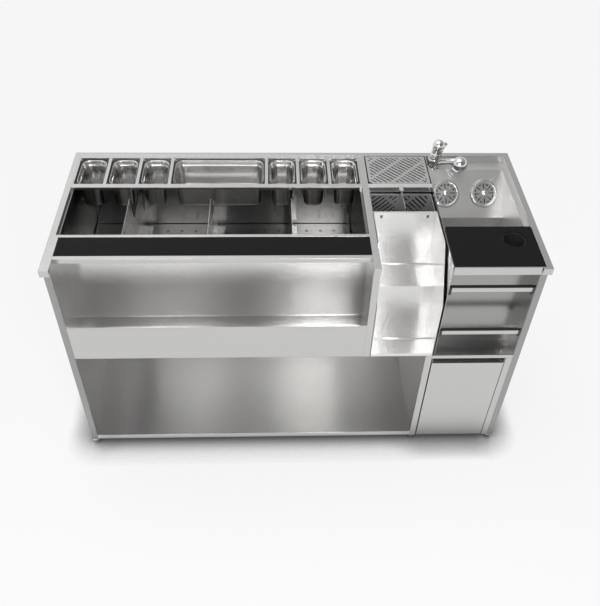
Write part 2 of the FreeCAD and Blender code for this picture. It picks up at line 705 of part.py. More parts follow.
def make_pan(name, x0, x1):
    """A pressed pan: flat flange, leaning walls with a stacking shoulder and a smaller floor."""
    seat = top - d.pan_ledge_drop
    flange_top = seat + d.pan_gauge
    us, vs = (x0 + d.fit, x1 - d.fit), (pan_front + d.fit, pan_rear - d.fit)
    flange = prism(name + "_flange", "z", [rounded(us, vs, d.pan_lip, 2)], seat, flange_top)
    floor = seat - d.pan_depth
    levels = [(seat, 0), (seat - d.pan_depth * 0.16, 0.3), (floor + 12, 1.0), (floor, 1.9)]
    blocks = []
    for kind, wall in (("block", 0), ("space", 1)):
        outlines = []
        for number, (z, lean) in enumerate(levels):
            shift = d.pan_taper * lean + d.pan_gauge * wall
            inset = d.pan_lip + shift
            outline = rounded((us[0] + inset, us[1] - inset), (vs[0] + inset, vs[1] - inset), d.pan_corner - shift, 3)
            outlines.append((outline, flange_top + 1 if wall and number == 0 else z + d.pan_gauge * wall))
        blocks.append(flat_faced(f"{name}_{kind}", level_rings(outlines)))
    keep(name, cut(name + "_pressing", fuse(name + "_sheets", blocks[0], flange), blocks[1]))


def make_pans():
    slots = pan_slots()
    small = slots[:3] + slots[4:]
    for number, (x0, x1) in enumerate(small, start=1):
        make_pan(f"garnish_pan_{number}", x0, x1)
    make_pan("garnish_pan_wide", *slots[3])


def make_counter():
    """Bright bar, channel with its black strip, and turned-down front edge."""
    y_bar = tub_front - d.bar_width
    y_mat = y_bar - d.mat_width
    y_edge = y_mat - d.counter_edge
    channel = top - d.mat_thickness
    path = [(tub_front, tub_top), (tub_front, top), (y_bar, top), (y_bar, channel), (y_mat, channel),
            (y_mat, top), (y_edge, top), (y_edge, top - d.counter_lip)]
    keep("front_counter", prism("counter_sheet", "x", [folded(path, d.gauge, 1)], -post_in, bin_right))
    keep("bar_board", box("counter_mat", (-post_in + d.fit, bin_right - d.fit), (y_mat + d.fit, y_bar - d.fit),
                          (channel, top)))


def make_speed_rail():
    front_top = d.body_bottom + d.rail_front_height
    hem_y = face + d.rail_hem
    path = [(casing_front, d.body_bottom + d.rail_back_height), (casing_front, d.body_bottom),
            (face, d.body_bottom), (face, front_top), (hem_y, front_top), (hem_y, front_top - 14)]
    keep("speed_rail", prism("rail_trough", "x", [folded(path, d.gauge, -1)], -post_in, bin_right))


# ---------------------------------------------------------------- middle bay
def slot_field(x0, x1, y0, y1, z, height, lean):
    """Lines of slots at 45 degrees inside a rectangle; lean is 1 for \\ and -1 for / seen from the front."""
    tools = []
    along = d.slot_length.value + d.slot_bridge.value
    width, pitch = d.slot_width.value, d.slot_pitch.value
    middle = FreeCAD.Vector((x0 + x1) / 2, (y0 + y1) / 2, z)
    reach = math.hypot(x1 - x0, y1 - y0) / 2
    lines = int(reach / pitch) + 1
    steps = int(reach / along) + 2
    window = Part.makeBox(x1 - x0, y1 - y0, height, FreeCAD.Vector(x0, y0, z))
    for line in range(-lines, lines + 1):
        for step in range(-steps, steps + 1):
            start = step * along - d.slot_length.value / 2
            slot = Part.makeBox(d.slot_length.value, width, height, FreeCAD.Vector(start, line * pitch - width / 2, 0))
            slot.Placement = FreeCAD.Placement(middle, FreeCAD.Rotation(FreeCAD.Vector(0, 0, 1), -45 * lean))
            piece = slot.common(window)
            if piece.Solids and piece.Volume > width * width * height * 0.6:
                tools.append(piece)
    return Part.makeCompound(tools)


def make_drainer():
    """The tray with its front bar, and the slotted plate on folded legs."""
    tray_floor = top - d.tray_depth
    path = [(pan_rail_front, top - 20), (pan_rail_front, top), (pan_front, top), (pan_front, tray_floor),
            (rim_rear, tray_floor), (rim_rear, under_rim)]
    keep("drainer_tray", prism("drainer_sheet", "x", [folded(path, d.gauge, -1)], middle_left, middle_right))
    x0, x1 = (middle_left + d.bay_gap).value, (middle_right - d.bay_gap).value
    y0, y1 = (pan_front + d.fit * 2).value, (rim_rear - d.gauge * 2 - d.fit * 2).value
    z0, z1, thick = tray_floor.value, top.value, d.grid_thickness.value
    margin = d.grid_margin.value
    solid = Part.makeBox(x1 - x0, y1 - y0, z1 - z0, FreeCAD.Vector(x0, y0, z0))
    solid = solid.cut(Part.makeBox(x1 - x0 + 2, y1 - y0 - 2 * thick, z1 - z0 - thick,
                                   FreeCAD.Vector(x0 - 1, y0 + thick, z0)))
    slots = slot_field(x0 + margin, x1 - margin, y0 + margin, y1 - margin, z1 - 2 * thick, 3 * thick, 1)
    corner = size(14).value
    notch = Part.makePolygon([FreeCAD.Vector(x0, y0, z0), FreeCAD.Vector(x0 + corner, y0, z0),
                              FreeCAD.Vector(x0, y0 + corner, z0), FreeCAD.Vector(x0, y0, z0)])
    notch = Part.Face(notch).extrude(FreeCAD.Vector(0, 0, z1 - z0 + 1))
    plate = doc.addObject("Part::Feature", "drainer_plate")
    plate.Shape = solid.cut(slots).cut(notch).removeSplitter()
    keep("drainer_grid", plate)


def make_bottle_well():
    """A lift-out well with a slotted rear wall and a divider hooked over the drainer bar."""
    x0, x1 = middle_left + d.bay_gap, middle_right - d.bay_gap
    y0, y1 = well_front, well_rear
    z0, z1 = d.body_bottom, top - d.well_drop
    t = d.gauge
    block = Part.makeBox((x1 - x0).value, (y1 - y0).value, (z1 - z0).value,
                         FreeCAD.Vector(x0.value, y0.value, z0.value))
    space = Part.makeBox((x1 - x0 - t * 2).value, (y1 - y0 - t * 2).value, (z1 - z0).value,
                         FreeCAD.Vector((x0 + t).value, (y0 + t).value, (z0 + t).value))
    centre = (x0 + x1) / 2
    shell = block.cut(space)
    depth = size(90)
    for low, high, lean in ((x0 + 10, centre - 10, -1), (centre + 10, x1 - 10, 1)):
        field = slot_field(low.value, high.value, 0, depth.value, -2 * t.value, 4 * t.value, lean)
        field.Placement = FreeCAD.Placement(FreeCAD.Vector(0, (y1 - t / 2).value, (z1 - depth - 8).value),
                                            FreeCAD.Rotation(FreeCAD.Vector(1, 0, 0), 90))
        shell = shell.cut(field)
    well = doc.addObject("Part::Feature", "well_shell")
    well.Shape = shell.removeSplitter()
    keep("bottle_well", well)
    plate = box("well_plate", (centre - t / 2, centre + t / 2), (y0 + t + d.fit, y1 - t - d.fit),
                (z0 + t, top + 2))
    hook = box("well_hook", (centre - 7, centre + 7), (y1 - t - 14, pan_rail_front + 8), (top, top + 2))
    keep("well_divider", fuse("well_divider_sheet", plate, hook))


def make_step_rack():
    """Two stepped tiers between side plates, with a rod ahead of each tier."""
    x0, x1 = middle_left + d.bay_gap / 2, middle_right - d.bay_gap * 1.5
    t = d.gauge
    y_rear, y_step = rack_rear, tier_front
    shelf = d.tier_height - t
    side = [(y_rear, top), (rack_slope, top), (face, d.rack_knee), (face, d.body_bottom),
            (y_step, d.body_bottom), (y_step, shelf), (y_rear, shelf)]
    path = [(y_rear - 8, top), (y_rear, top), (y_rear, shelf), (y_step, shelf), (y_step, d.body_bottom),
            (face, d.body_bottom), (face, d.body_bottom + 12)]
    shelves = prism("rack_shelves", "x", [folded(path, t, -1)], x0 + t, x1 - t)
    left_side = prism("rack_side_left", "x", [side], x0, x0 + t)
    right_side = prism("rack_side_right", "x", [side], x1 - t, x1)
    body = fuse("rack_sheets", shelves, left_side, right_side)
    slots = []
    for number, x in enumerate((x0 + 25, x1 - 32)):
        slots.append(box(f"rack_keyhole_{number}", (x, x + 7), (y_rear - 5, y_rear + 1), (top - 27, top - 15)))
    keep("step_rack", cut("rack", body, *slots))
    upper = rod("rack_rod_upper", d.rod_radius, (x0 + t, y_step + 3, d.tier_height + d.rod_rise_upper),
                x1 - x0 - t * 2, "x")
    lower = rod("rack_rod_lower", d.rod_radius, (x0 + t, face + 6, d.body_bottom + d.rod_rise_lower),
                x1 - x0 - t * 2, "x")
    rods = doc.addObject("Part::Compound", "rods")
    rods.Links = [upper, lower]
    keep("rack_rods", rods)


# ---------------------------------------------------------------- sink and tap
def slope_frame():
    """Middle of the strainer slope, and the lean of its outward normal from upright, in degrees."""
    lean = math.degrees(math.atan2(d.slope_fall.value, d.slope_run.value))
    return (slope_top_y + slope_foot_y) / 2, (ledge_top + slope_foot_z) / 2, lean


def strainer_places():
    middle_x = (sink_left + d.gauge + sink_right) / 2
    return [middle_x - d.strainer_spacing / 2, middle_x + d.strainer_spacing / 2]


def make_sink():
    """Tap ledge, strainer slope, deep floor under the board, and the step inside the right rim."""
    t = d.gauge
    floor_front = sink_floor - d.sink_floor_fall
    inner = [(rim_rear, top + 5), (rim_rear, ledge_top), (slope_top_y, ledge_top), (slope_foot_y, slope_foot_z),
             (slope_foot_y, sink_floor), (sink_front, floor_front), (sink_front, top + 5)]
    path = inner[:0] + [(rim_rear, under_rim)] + inner[1:-1] + [(sink_front, deck_top - t)]
    sheet_section = folded(path, t, 1)
    outer = sheet_section[len(path):]
    x0, x1 = sink_left, sink_right + t
    block = prism("sink_block", "x", [outer], x0, x1)
    space = prism("sink_space", "x", [inner], x0 + t, x1 - t)
    left_lower = box("sink_left_trim", (x0 - 1, x0 + t + 1), (rim_rear - 1, rim_rear + 5), (under_rim, top))
    right_lower = box("sink_right_trim", (x1 - t, x1 + 1), (sink_front - 5, rim_rear + 5), (ledge_top, top))
    front_trim = box("sink_front_trim", (x0 - 1, x1 + 1), (sink_front - 5, slope_foot_y - 1), (deck_top - t, top))
    bowl = cut("sink_bowl_sheet", block, space, left_lower, right_lower, front_trim)
    level = (ledge_top - t, ledge_top)
    ledge = box("sink_side_ledge", (x1 - t, rim_in), (deck_rear, rim_rear), level)
    stand = box("sink_side_stand", (rim_in, rim_in + t), (deck_rear, rim_rear + t), (ledge_top - t, under_rim))
    rear_stand = box("sink_rear_stand", (x1 - t, rim_in), (rim_rear, rim_rear + t), (ledge_top - t, under_rim))
    whole = fuse("sink_sheets", bowl, ledge, stand, rear_stand)
    y, z, lean = slope_frame()
    holes = []
    for number, x in enumerate(strainer_places()):
        hole = rod(f"strainer_hole_{number}", d.strainer_radius - 3, (x, y, z), size(30))
        turn = FreeCAD.Rotation(FreeCAD.Vector(1, 0, 0), lean)
        shift = turn.multVec(FreeCAD.Vector(0, 0, -15))
        hole.Placement = FreeCAD.Placement(FreeCAD.Vector(), turn)
        holes.append(move(hole, x, y + shift.y, z + shift.z))
    drain_x, drain_y = (x0 + x1) / 2 - 40, (slope_foot_y + sink_front) / 2
    holes.append(rod("sink_drain_hole", d.bar_drain_radius + 2, (drain_x, drain_y, sink_floor - 20), size(30)))
    tap_x, tap_y = tap_place()
    holes.append(rod("tap_hole", size(16), (tap_x, tap_y, ledge_top - 10), size(20)))
    keep("sink_bowl", cut("sink", whole, *holes))

    r = d.bar_drain_radius
    slab = sink_floor - d.sink_floor_fall / 2 + 0.8
    keep("sink_drain", many_sided("sink_drain_fitting", [
        (r - d.drain_wall, 2), (r + 12, 2), (r + 12, 0), (r, 0), (r, -85), (r - d.drain_wall, -85)],
        (drain_x, drain_y, slab), 24))


def make_strainers():
    """Pressed seats with a tail on the slope, and lift-out basket strainers with plain radial slots."""
    y, z, lean = slope_frame()
    seats = []
    r, seat_r = d.strainer_radius, d.seat_radius
    for number, x in enumerate(strainer_places()):
        seat = many_sided(f"seat_{number}", [
            (r - 5, 2), (seat_r - 2, 2), (seat_r, 0), (r - 4, 0), (r - 6, -22), (14, -28), (14, -44), (12.5, -44),
            (12.5, -26.5), (r - 7.5, -20.5)], (x, y, z), 28)
        seats.append(stand(seat, turn_about("x", lean), (x, y, z)))
    group = doc.addObject("Part::Compound", "seats")
    group.Links = seats
    keep("strainer_seats", group)
    for name, x in zip(("strainer_left", "strainer_right"), strainer_places()):
        keep(name, make_strainer(name, x, y, z, lean))


def make_strainer(name, x, y, z, lean):
    r = d.strainer_radius
    turn = turn_about("x", lean)
    disc = many_sided(name + "_disc", [(0, 2), (r, 2), (r, 5), (r - 4, 5), (r - 4, 4), (9, 4), (9, 14), (0, 14)],
                      (x, y, z), 28)
    slots = []
    for number in range(8):
        spin = turn.multiply(turn_about("z", 45 * number))
        start = spin.multVec(FreeCAD.Vector(14, -2.5, 1))
        slot = box(f"{name}_slot_{number}", (size(0), r - 25), (size(0), size(5)), (size(0), size(5)))
        slots.append(stand(slot, spin, (x + start.x, y + start.y, z + start.z)))
    return cut(name + "_plate", stand(disc, turn, (x, y, z)), *slots)


def tap_place():
    return sink_left + d.tap_inset, rim_rear - d.ledge_depth / 2 - 3


def turn_about(axis, degrees):
    directions = {"x": FreeCAD.Vector(1, 0, 0), "y": FreeCAD.Vector(0, 1, 0), "z": FreeCAD.Vector(0, 0, 1)}
    return FreeCAD.Rotation(directions[axis], degrees)


def along(place, direction, distance):
    """A place moved a distance along a direction."""
    return tuple(p + size(distance) * k for p, k in zip(place, direction))


def stand(thing, turn, place):
    """Turn an object about its own origin and put it at a place."""
    thing.Placement = FreeCAD.Placement(FreeCAD.Vector(), turn)
    return move(thing, *place)


def make_tap():
    """Single-lever mixer: upright base, leaning barrel, turning sleeve, lever cap and swinging spout."""
    x, y = tap_place()
    make_tap_body(x, y)
    make_tap_spout(x, y)


def make_tap_body(x, y):
    lean = turn_about("y", d.barrel_lean.value)
    upward = tuple(lean.multVec(FreeCAD.Vector(0, 0, 1)))
    foot = (x, y, ledge_top + d.barrel_foot)
    pivot = along(foot, upward, d.barrel_length)
    flange, neck = d.tap_radius + 4, d.tap_radius - d.collar_wall / 2
    neck_top = d.tap_flange + d.collar_height + 1
    base = turned("tap_base", [(size(0), size(0)), (flange, size(0)), (flange, d.tap_flange),
                               (neck, d.tap_flange), (neck, neck_top), (size(0), neck_top)], (x, y, ledge_top))
    shank = rod("tap_shank", size(14), (x, y, ledge_top - 45), size(46))
    nut = doc.addObject("Part::Prism", "tap_nut")
    nut.Polygon = 6
    nut.Circumradius = 23
    nut.Height = 9
    move(nut, x, y, ledge_top - d.gauge - 9)

    barrel = stand(rod("barrel_rod", d.barrel_radius, foot, d.barrel_length - d.seat_depth - d.tap_gap), lean, foot)
    below = box("barrel_trim", (x - 60, x + 60), (y - 60, y + 60), (ledge_top - 60, ledge_top + neck_top))
    keep("tap_body", fuse("tap_body_solid", base, shank, nut, cut("barrel", barrel, below)))

    # the sleeve turns with the lever for warm and cold; its cone clears the ball-shaped cap as that tilts
    reach = (d.cap_radius + d.tap_gap + 0.1) * math.sqrt(2)
    sleeve = many_sided("cartridge_sleeve", [
        (0, -d.seat_depth), (d.barrel_radius, -d.seat_depth), (d.barrel_radius, d.barrel_radius - reach),
        (d.stem_radius, d.stem_radius - reach), (d.stem_radius, d.pin_radius + 1), (0, d.pin_radius + 1)], pivot, 32)
    half = d.cap_bore - 0.8
    pin = rod("cartridge_pin", d.pin_radius, (pivot[0], pivot[1] - half, pivot[2]), half * 2, "y")
    keep("tap_cartridge", fuse("cartridge", stand(sleeve, lean, pivot), pin))

    edge = 180 - math.degrees(math.acos(d.cap_skirt.value / d.cap_radius.value))
    cap = many_sided("lever_cap", [(0, d.cap_radius)] + ball_profile(d.cap_radius, 24, edge, 3) + [
        (d.cap_bore, -d.cap_skirt), (d.cap_bore, d.cap_bore - 3), (0, d.cap_bore - 3)], pivot, 32)
    start = d.cap_radius - 5
    length = d.lever_reach - start
    tip = many_sided("lever_tip", [(0, 0), (8, 0), (4, length), (0, length)], pivot, 16)
    outward = turn_about("y", 75)
    tip_start = along(pivot, tuple(outward.multVec(FreeCAD.Vector(0, 0, 1))), start)
    stand(tip, outward, tip_start)
    keep("tap_lever", fuse("lever", stand(cap, lean, pivot), tip))


def make_tap_spout(x, y):
    """A collar round the tap's neck, a rising arm, and a bulb with the aerator under it."""
    swing = turn_about("z", -d.spout_angle.value)
    rising = swing.multiply(turn_about("y", 90 - d.spout_rise.value))
    heading = tuple(swing.multVec(FreeCAD.Vector(1, 0, 0)))
    slope = tuple(rising.multVec(FreeCAD.Vector(0, 0, 1)))
    bore = d.tap_radius - d.collar_wall / 2 + d.collar_fit
    outside = d.tap_radius + d.collar_wall / 2
    collar_foot = ledge_top + d.tap_flange + 0.3
    collar = turned("spout_collar", [(bore, size(0)), (outside, size(0)), (outside, d.collar_height),
                                     (bore, d.collar_height)], (x, y, collar_foot))
    root = (x, y, ledge_top + d.spout_root)
    climb = math.cos(math.radians(d.spout_rise.value))
    arm = stand(rod("spout_arm", d.spout_radius, root, d.spout_reach / climb), rising, root)
    core = rod("spout_core", bore, (x, y, ledge_top - 20), size(90))
    end = along(root, slope, d.spout_reach / climb)
    centre = (end[0], end[1], end[2] - d.outlet_drop)
    profile = [(0, d.outlet_radius)] + ball_profile(d.outlet_radius, 28, 142, 4)
    bulb = many_sided("spout_bulb", profile + [(0, profile[-1][1])], centre, 32)
    keep("tap_spout", fuse("spout", collar, cut("spout_arm_cut", arm, core), bulb))
    flat = centre[2] + profile[-1][1]
    keep("tap_aerator", rod("aerator", d.outlet_radius * 0.5, (centre[0], centre[1], flat - 4), size(4)))


# ---------------------------------------------------------------- board, chute and recess
def make_board():
    t = d.gauge
    lip = size(4.5)
    path = [(deck_face, top - d.deck_front_height), (deck_face, top), (deck_face + lip, top),
            (deck_face + lip, deck_top), (deck_rear, deck_top), (deck_rear, deck_top - 20)]
    deck_sheet = prism("deck_sheet", "x", [folded(path, t, -1)], sink_left + t, post_in)
    hole = rod("deck_hole", d.collar_radius + 0.3, (chute_x, chute_y, deck_top - 10), size(20))
    keep("board_deck", cut("deck", deck_sheet, hole))
    board = box("board_blank", (sink_left + 6, rim_in - 2), (deck_face + lip + d.fit, board_rear), (deck_top, top))
    hole = rod("board_hole", d.collar_radius + d.fit, (chute_x, chute_y, deck_top - 1), d.board_thickness + 2)
    keep("cutting_board", cut("board", board, hole))
    r, mouth = d.chute_radius, d.collar_radius
    lower = d.chute_bottom
    seat = deck_top - t - lower
    wall = d.chute_wall
    keep("waste_chute", many_sided("chute", [
        (mouth - wall, top - 3 - lower), (mouth, top - 3 - lower), (mouth, seat), (mouth + 7, seat),
        (mouth + 7, seat - wall), (mouth, seat - wall), (mouth, seat - 30), (r, seat - 60), (r, 0), (r - wall, 0),
        (r - wall, seat - 59), (mouth - wall, seat - 29)], (chute_x, chute_y, lower), 28))


def make_recess():
    """The liner of the recess, two bars across it and the blocks that they hook over."""
    t = d.gauge
    block = box("liner_block", (sink_left, post_in), (behind_face, recess_back + t), (cabinet_top_z, deck_top - t))
    space = box("liner_space", (sink_left - 1, post_in - t), (face - 1, recess_back), (cabinet_top_z + t, deck_top))
    keep("recess_liner", cut("liner", block, space))
    x0, x1 = sink_left + 1, post_in - t - 1
    blocks = []
    for name, level in (("upper", d.bar_level_upper), ("lower", d.bar_level_lower)):
        y0, y1 = face, face + d.bar_depth
        path = [(y1, level - 11), (y1, level), (y0, level), (y0, level - d.bar_height)]
        keep(f"retaining_bar_{name}", prism(f"bar_{name}", "x", [folded(path, t, 1)], x0, x1))
        for side, (b0, b1) in enumerate(((sink_left, sink_left + 9), (post_in - t - 9, post_in - t))):
            blocks.append(box(f"block_{name}_{side}", (b0, b1), (y0 + t + 1, y1 - t - 1), (level - 32, level - t)))
    group = doc.addObject("Part::Compound", "blocks")
    group.Links = blocks
    keep("bar_blocks", group)


# ---------------------------------------------------------------- waste drawer
def make_drawer():
    t = d.gauge
    x0, x1 = sink_wall, sink_wall + d.drawer_width
    z0, z1 = floor_plate + 1, cabinet_top_z - d.top_fold - 1
    y0, y1 = face, face + d.drawer_front_depth
    lip_z, pull_z = z1 - d.pull_height, z1 - d.pull_height - d.pull_depth
    pull_front = y0 + 9
    outer = [(y0, z0), (y0, lip_z), (pull_front, lip_z), (pull_front, pull_z), (y1 - t, pull_z), (y1 - t, z1),
             (y1, z1), (y1, z0)]
    inner = [(y0 + t, z0 + t), (y0 + t, lip_z - t), (pull_front - t, lip_z - t), (pull_front - t, pull_z - t),
             (y1 - t, pull_z - t), (y1 - t, z0 + t)]
    skin_body = prism("drawer_skin", "x", [outer, inner], x0, x1)
    ends = [box(f"drawer_end_{k}", (low, low + t), (y0, y1), (z0, z1)) for k, low in enumerate((x0, x1 - t))]
    keep("drawer_front", fuse("drawer_front_sheet", skin_body, *ends))

    runner_z = floor_plate + t
    slide_z = runner_z + d.runner_height
    tray_z = slide_z + d.slide_height
    lanes = [(x0 + 24, x0 + 44), (x1 - 44, x1 - 24)]
    y_end = face + d.drawer_length
    fixed, moving = [], []
    for k, lane in enumerate(lanes):
        fixed.append(box(f"runner_{k}", lane, (face + 50, back_inner - 60), (runner_z, slide_z)))
        moving.append(box(f"slide_{k}", lane, (y1, y_end), (slide_z, tray_z)))
    for name, pieces in (("drawer_runners", fixed), ("drawer_slides", moving)):
        group = doc.addObject("Part::Compound", name + "_pair")
        group.Links = pieces
        keep(name, group)

    tray_x = (x0 + 1, x1)
    tray_end = y1 + d.waste_bin_length + 12
    block = box("tray_block", tray_x, (y1, tray_end), (tray_z, tray_z + d.tray_side))
    space = box("tray_space", (tray_x[0] + t, tray_x[1] - t), (y1 + t, tray_end - t),
                (tray_z + t, tray_z + d.tray_side + 1))
    keep("drawer_tray", cut("tray", block, space))
    make_waste_bin(tray_x[0] + t, tray_x[1] - t, y1 + 6, tray_z + t)


def make_waste_bin(x0, x1, y0, z0):
    """A plastic bin whose walls lean in to its floor."""
    y1 = y0 + d.waste_bin_length
    wall, taper = d.waste_bin_wall, d.waste_bin_taper
    blocks = []
    for kind, inset, levels in (("block", 0, (z0, z0 + d.waste_bin_height)),
                                ("space", wall, (z0 + wall, z0 + d.waste_bin_height + 1))):
        outlines = []
        for z, lean in zip(levels, (taper, size(0.5))):
            shift = lean + inset
            outlines.append((rounded((x0 + shift, x1 - shift), (y0 + shift, y1 - shift), size(24) - shift, 3), z))
        blocks.append(flat_faced(f"bin_{kind}", level_rings(outlines)))
    keep("waste_bin", cut("bin_moulding", *blocks))


# ---------------------------------------------------------------- build, check and write
def build():
    make_side_panels()
    make_back_panel()
    make_top_rim()
    make_partitions()
    make_lower_frame()
    make_feet()
    make_ice_bin()
    make_false_floor()
    make_ice_dividers()
    make_pan_rail()
    make_pans()
    make_counter()
    make_speed_rail()
    make_drainer()
    make_bottle_well()
    make_step_rack()
    make_sink()
    make_strainers()
    make_tap()
    make_board()
    make_recess()
    make_drawer()
    doc.recompute()


def check():
    """Stop if any object failed or any sub-part is not a sound solid."""
    failed = [o.Name for o in doc.Objects if "Invalid" in o.State or "Error" in o.State]
    if failed:
        raise RuntimeError(f"failed objects: {failed}")
    for name, thing in nodes.items():
        shape = thing.Shape
        if shape.isNull() or not shape.isValid() or not shape.Solids:
            raise RuntimeError(f"{name} is not a sound solid")


def write():
    os.makedirs("parts", exist_ok=True)
    for name, thing in nodes.items():
        thing.Shape.exportStep(f"parts/{name}.step")
    print(len(nodes), "sub-parts written")


build()
check()
write()
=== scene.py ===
"""The looks of the bar station: finishes on its frame, and the pressed, turned and moulded pieces.

Metres, Z up, in the frame's own places: +X along the counter, +Y to the rear.
"""
import json
import math

import bmesh
import bpy
from bpy.props import FloatProperty, FloatVectorProperty, IntProperty, PointerProperty
from bpy.types import Operator, Panel, PropertyGroup
from mathutils import Matrix, Vector

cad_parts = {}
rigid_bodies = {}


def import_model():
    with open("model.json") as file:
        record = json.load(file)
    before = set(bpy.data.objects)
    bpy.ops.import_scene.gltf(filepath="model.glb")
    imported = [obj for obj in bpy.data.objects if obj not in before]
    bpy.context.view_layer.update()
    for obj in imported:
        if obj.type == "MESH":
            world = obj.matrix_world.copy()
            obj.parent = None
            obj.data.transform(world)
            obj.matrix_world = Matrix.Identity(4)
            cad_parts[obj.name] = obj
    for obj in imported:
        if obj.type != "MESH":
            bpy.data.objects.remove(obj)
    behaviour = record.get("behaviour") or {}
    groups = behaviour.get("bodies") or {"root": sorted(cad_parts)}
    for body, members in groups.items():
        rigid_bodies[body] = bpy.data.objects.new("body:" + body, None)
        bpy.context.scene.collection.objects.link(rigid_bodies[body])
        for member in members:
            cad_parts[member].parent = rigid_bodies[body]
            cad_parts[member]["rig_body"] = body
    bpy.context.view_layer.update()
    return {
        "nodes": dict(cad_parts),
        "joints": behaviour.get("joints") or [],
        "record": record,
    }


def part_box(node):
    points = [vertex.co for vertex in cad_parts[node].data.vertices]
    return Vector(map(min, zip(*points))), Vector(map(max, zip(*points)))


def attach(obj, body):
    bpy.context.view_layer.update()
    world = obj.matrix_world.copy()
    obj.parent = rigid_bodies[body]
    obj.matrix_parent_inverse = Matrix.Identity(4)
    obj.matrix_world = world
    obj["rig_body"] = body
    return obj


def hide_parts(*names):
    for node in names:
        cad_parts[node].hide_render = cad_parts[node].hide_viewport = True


bl_info = {
    "name": "Bar Station",
    "version": (1, 0, 0),
    "blender": (4, 5, 0),
    "location": "View3D > Sidebar > Bar Station",
    "description": "Dresses the frame of a stainless bar station with an ice bin and a sink",
    "category": "Object",
}

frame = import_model()
MM = 0.001
PAN_NODES = [f"garnish_pan_{k}" for k in range(1, 7)] + ["garnish_pan_wide"]
BAR_NODES = ["retaining_bar_upper", "retaining_bar_lower"]
DIVIDER_NODES = ["ice_divider_1", "ice_divider_2", "ice_divider_3"]


# ---------------------------------------------------------------- sizes and colours
def colour_property(name, about, default):
    return FloatVectorProperty(name=name, description=about, subtype="COLOR", size=3, min=0, max=1,
                               default=default)


def share_property(name, about, default):
    return FloatProperty(name=name, description=about, min=0, max=1, default=default)


def length_property(name, about, default):
    return FloatProperty(name=name, description=about, unit="LENGTH", default=default)


class StationFinish(PropertyGroup):
    """Colours and gloss of the station's finishes, with lighter and darker copies of the steel as
    painted light and shade.
    """

    steel: colour_property("Brushed steel", "Colour of the casing", (0.58, 0.575, 0.57))
    # Painted light: a lighter copy of the steel for the bin front, shelf, rack, strainers and
    # drainer, standing in for the light these pieces catch.
    painted_light_steel: colour_property("Painted light steel", "Colour of the bin front, shelf and rack",
                                  (0.78, 0.775, 0.77))
    # Painted shade: a much darker copy of the steel for the ice bin's tub and false floor, standing
    # in for the shade under the pans.
    painted_deep_shade_steel: colour_property("Painted deep shade steel", "Colour of the ice bin", (0.24, 0.238, 0.235))
    # Painted shade: a darker copy of the steel for the side panels and the recess, standing in for
    # the shade on them.
    painted_shade_steel: colour_property("Painted shade steel", "Colour of the side panels and the recess",
                                (0.36, 0.358, 0.355))
    steel_roughness: share_property("Steel roughness", "How soft the casing's reflections are",
                                    0.24)
    polish: colour_property("Polished steel", "Colour of the pans", (0.62, 0.615, 0.61))
    polish_roughness: share_property("Polish roughness", "How soft the pans' reflections are", 0.18)
    chrome: colour_property("Chrome", "Colour of the tap", (0.7, 0.7, 0.7))
    board: colour_property("Board", "Colour of the cutting board and the counter strip",
                           (0.004, 0.004, 0.0043))
    trim: colour_property("Black plastic", "Colour of the chute and the small plastic parts",
                          (0.02, 0.02, 0.02))


class StationSizes(PropertyGroup):
    """Sizes of the pieces that the frame leaves plain."""

    edge: length_property("Edge", "Rounding of cut and folded sheet edges", 0.5 * MM)
    pan_lip: length_property("Pan flange", "Flat flange round a pan", 6.5 * MM)
    pan_mouth: length_property("Pan mouth", "Corner radius of a pan's mouth", 28 * MM)
    pan_shoulder: length_property("Stacking shoulder", "Depth of the shoulder inside a pan",
                                  15 * MM)
    corner_steps: IntProperty(name="Corner steps", description="Faces round one corner of a pan",
                              default=8)
    screw_radius: length_property("Screw head", "Radius of a pan-head screw", 3.6 * MM)


def finish():
    return bpy.context.scene.station_finish


def sizes():
    return bpy.context.scene.station_sizes


# ---------------------------------------------------------------- materials
class Nodes:
    """A material's node tree with short ways to add and join nodes."""

    def __init__(self, name):
        self.material = bpy.data.materials.new(name)
        self.material.use_nodes = True
        self.tree = self.material.node_tree
        self.shader = self.tree.nodes["Principled BSDF"]

    def add(self, kind, **values):
        node = self.tree.nodes.new(kind)
        for key, value in values.items():
            if key in node.inputs:
                node.inputs[key].default_value = value
            else:
                setattr(node, key, value)
        return node

    def join(self, source, target):
        self.tree.links.new(source, target)


# Painted shade below a given height: the steel's colour fades over this span down to this share of
# itself.
PAINTED_SHADE_FADE = 2 * MM
PAINTED_SHADE_TONE = 0.12


def rgba(colour):
    return (*colour, 1.0)


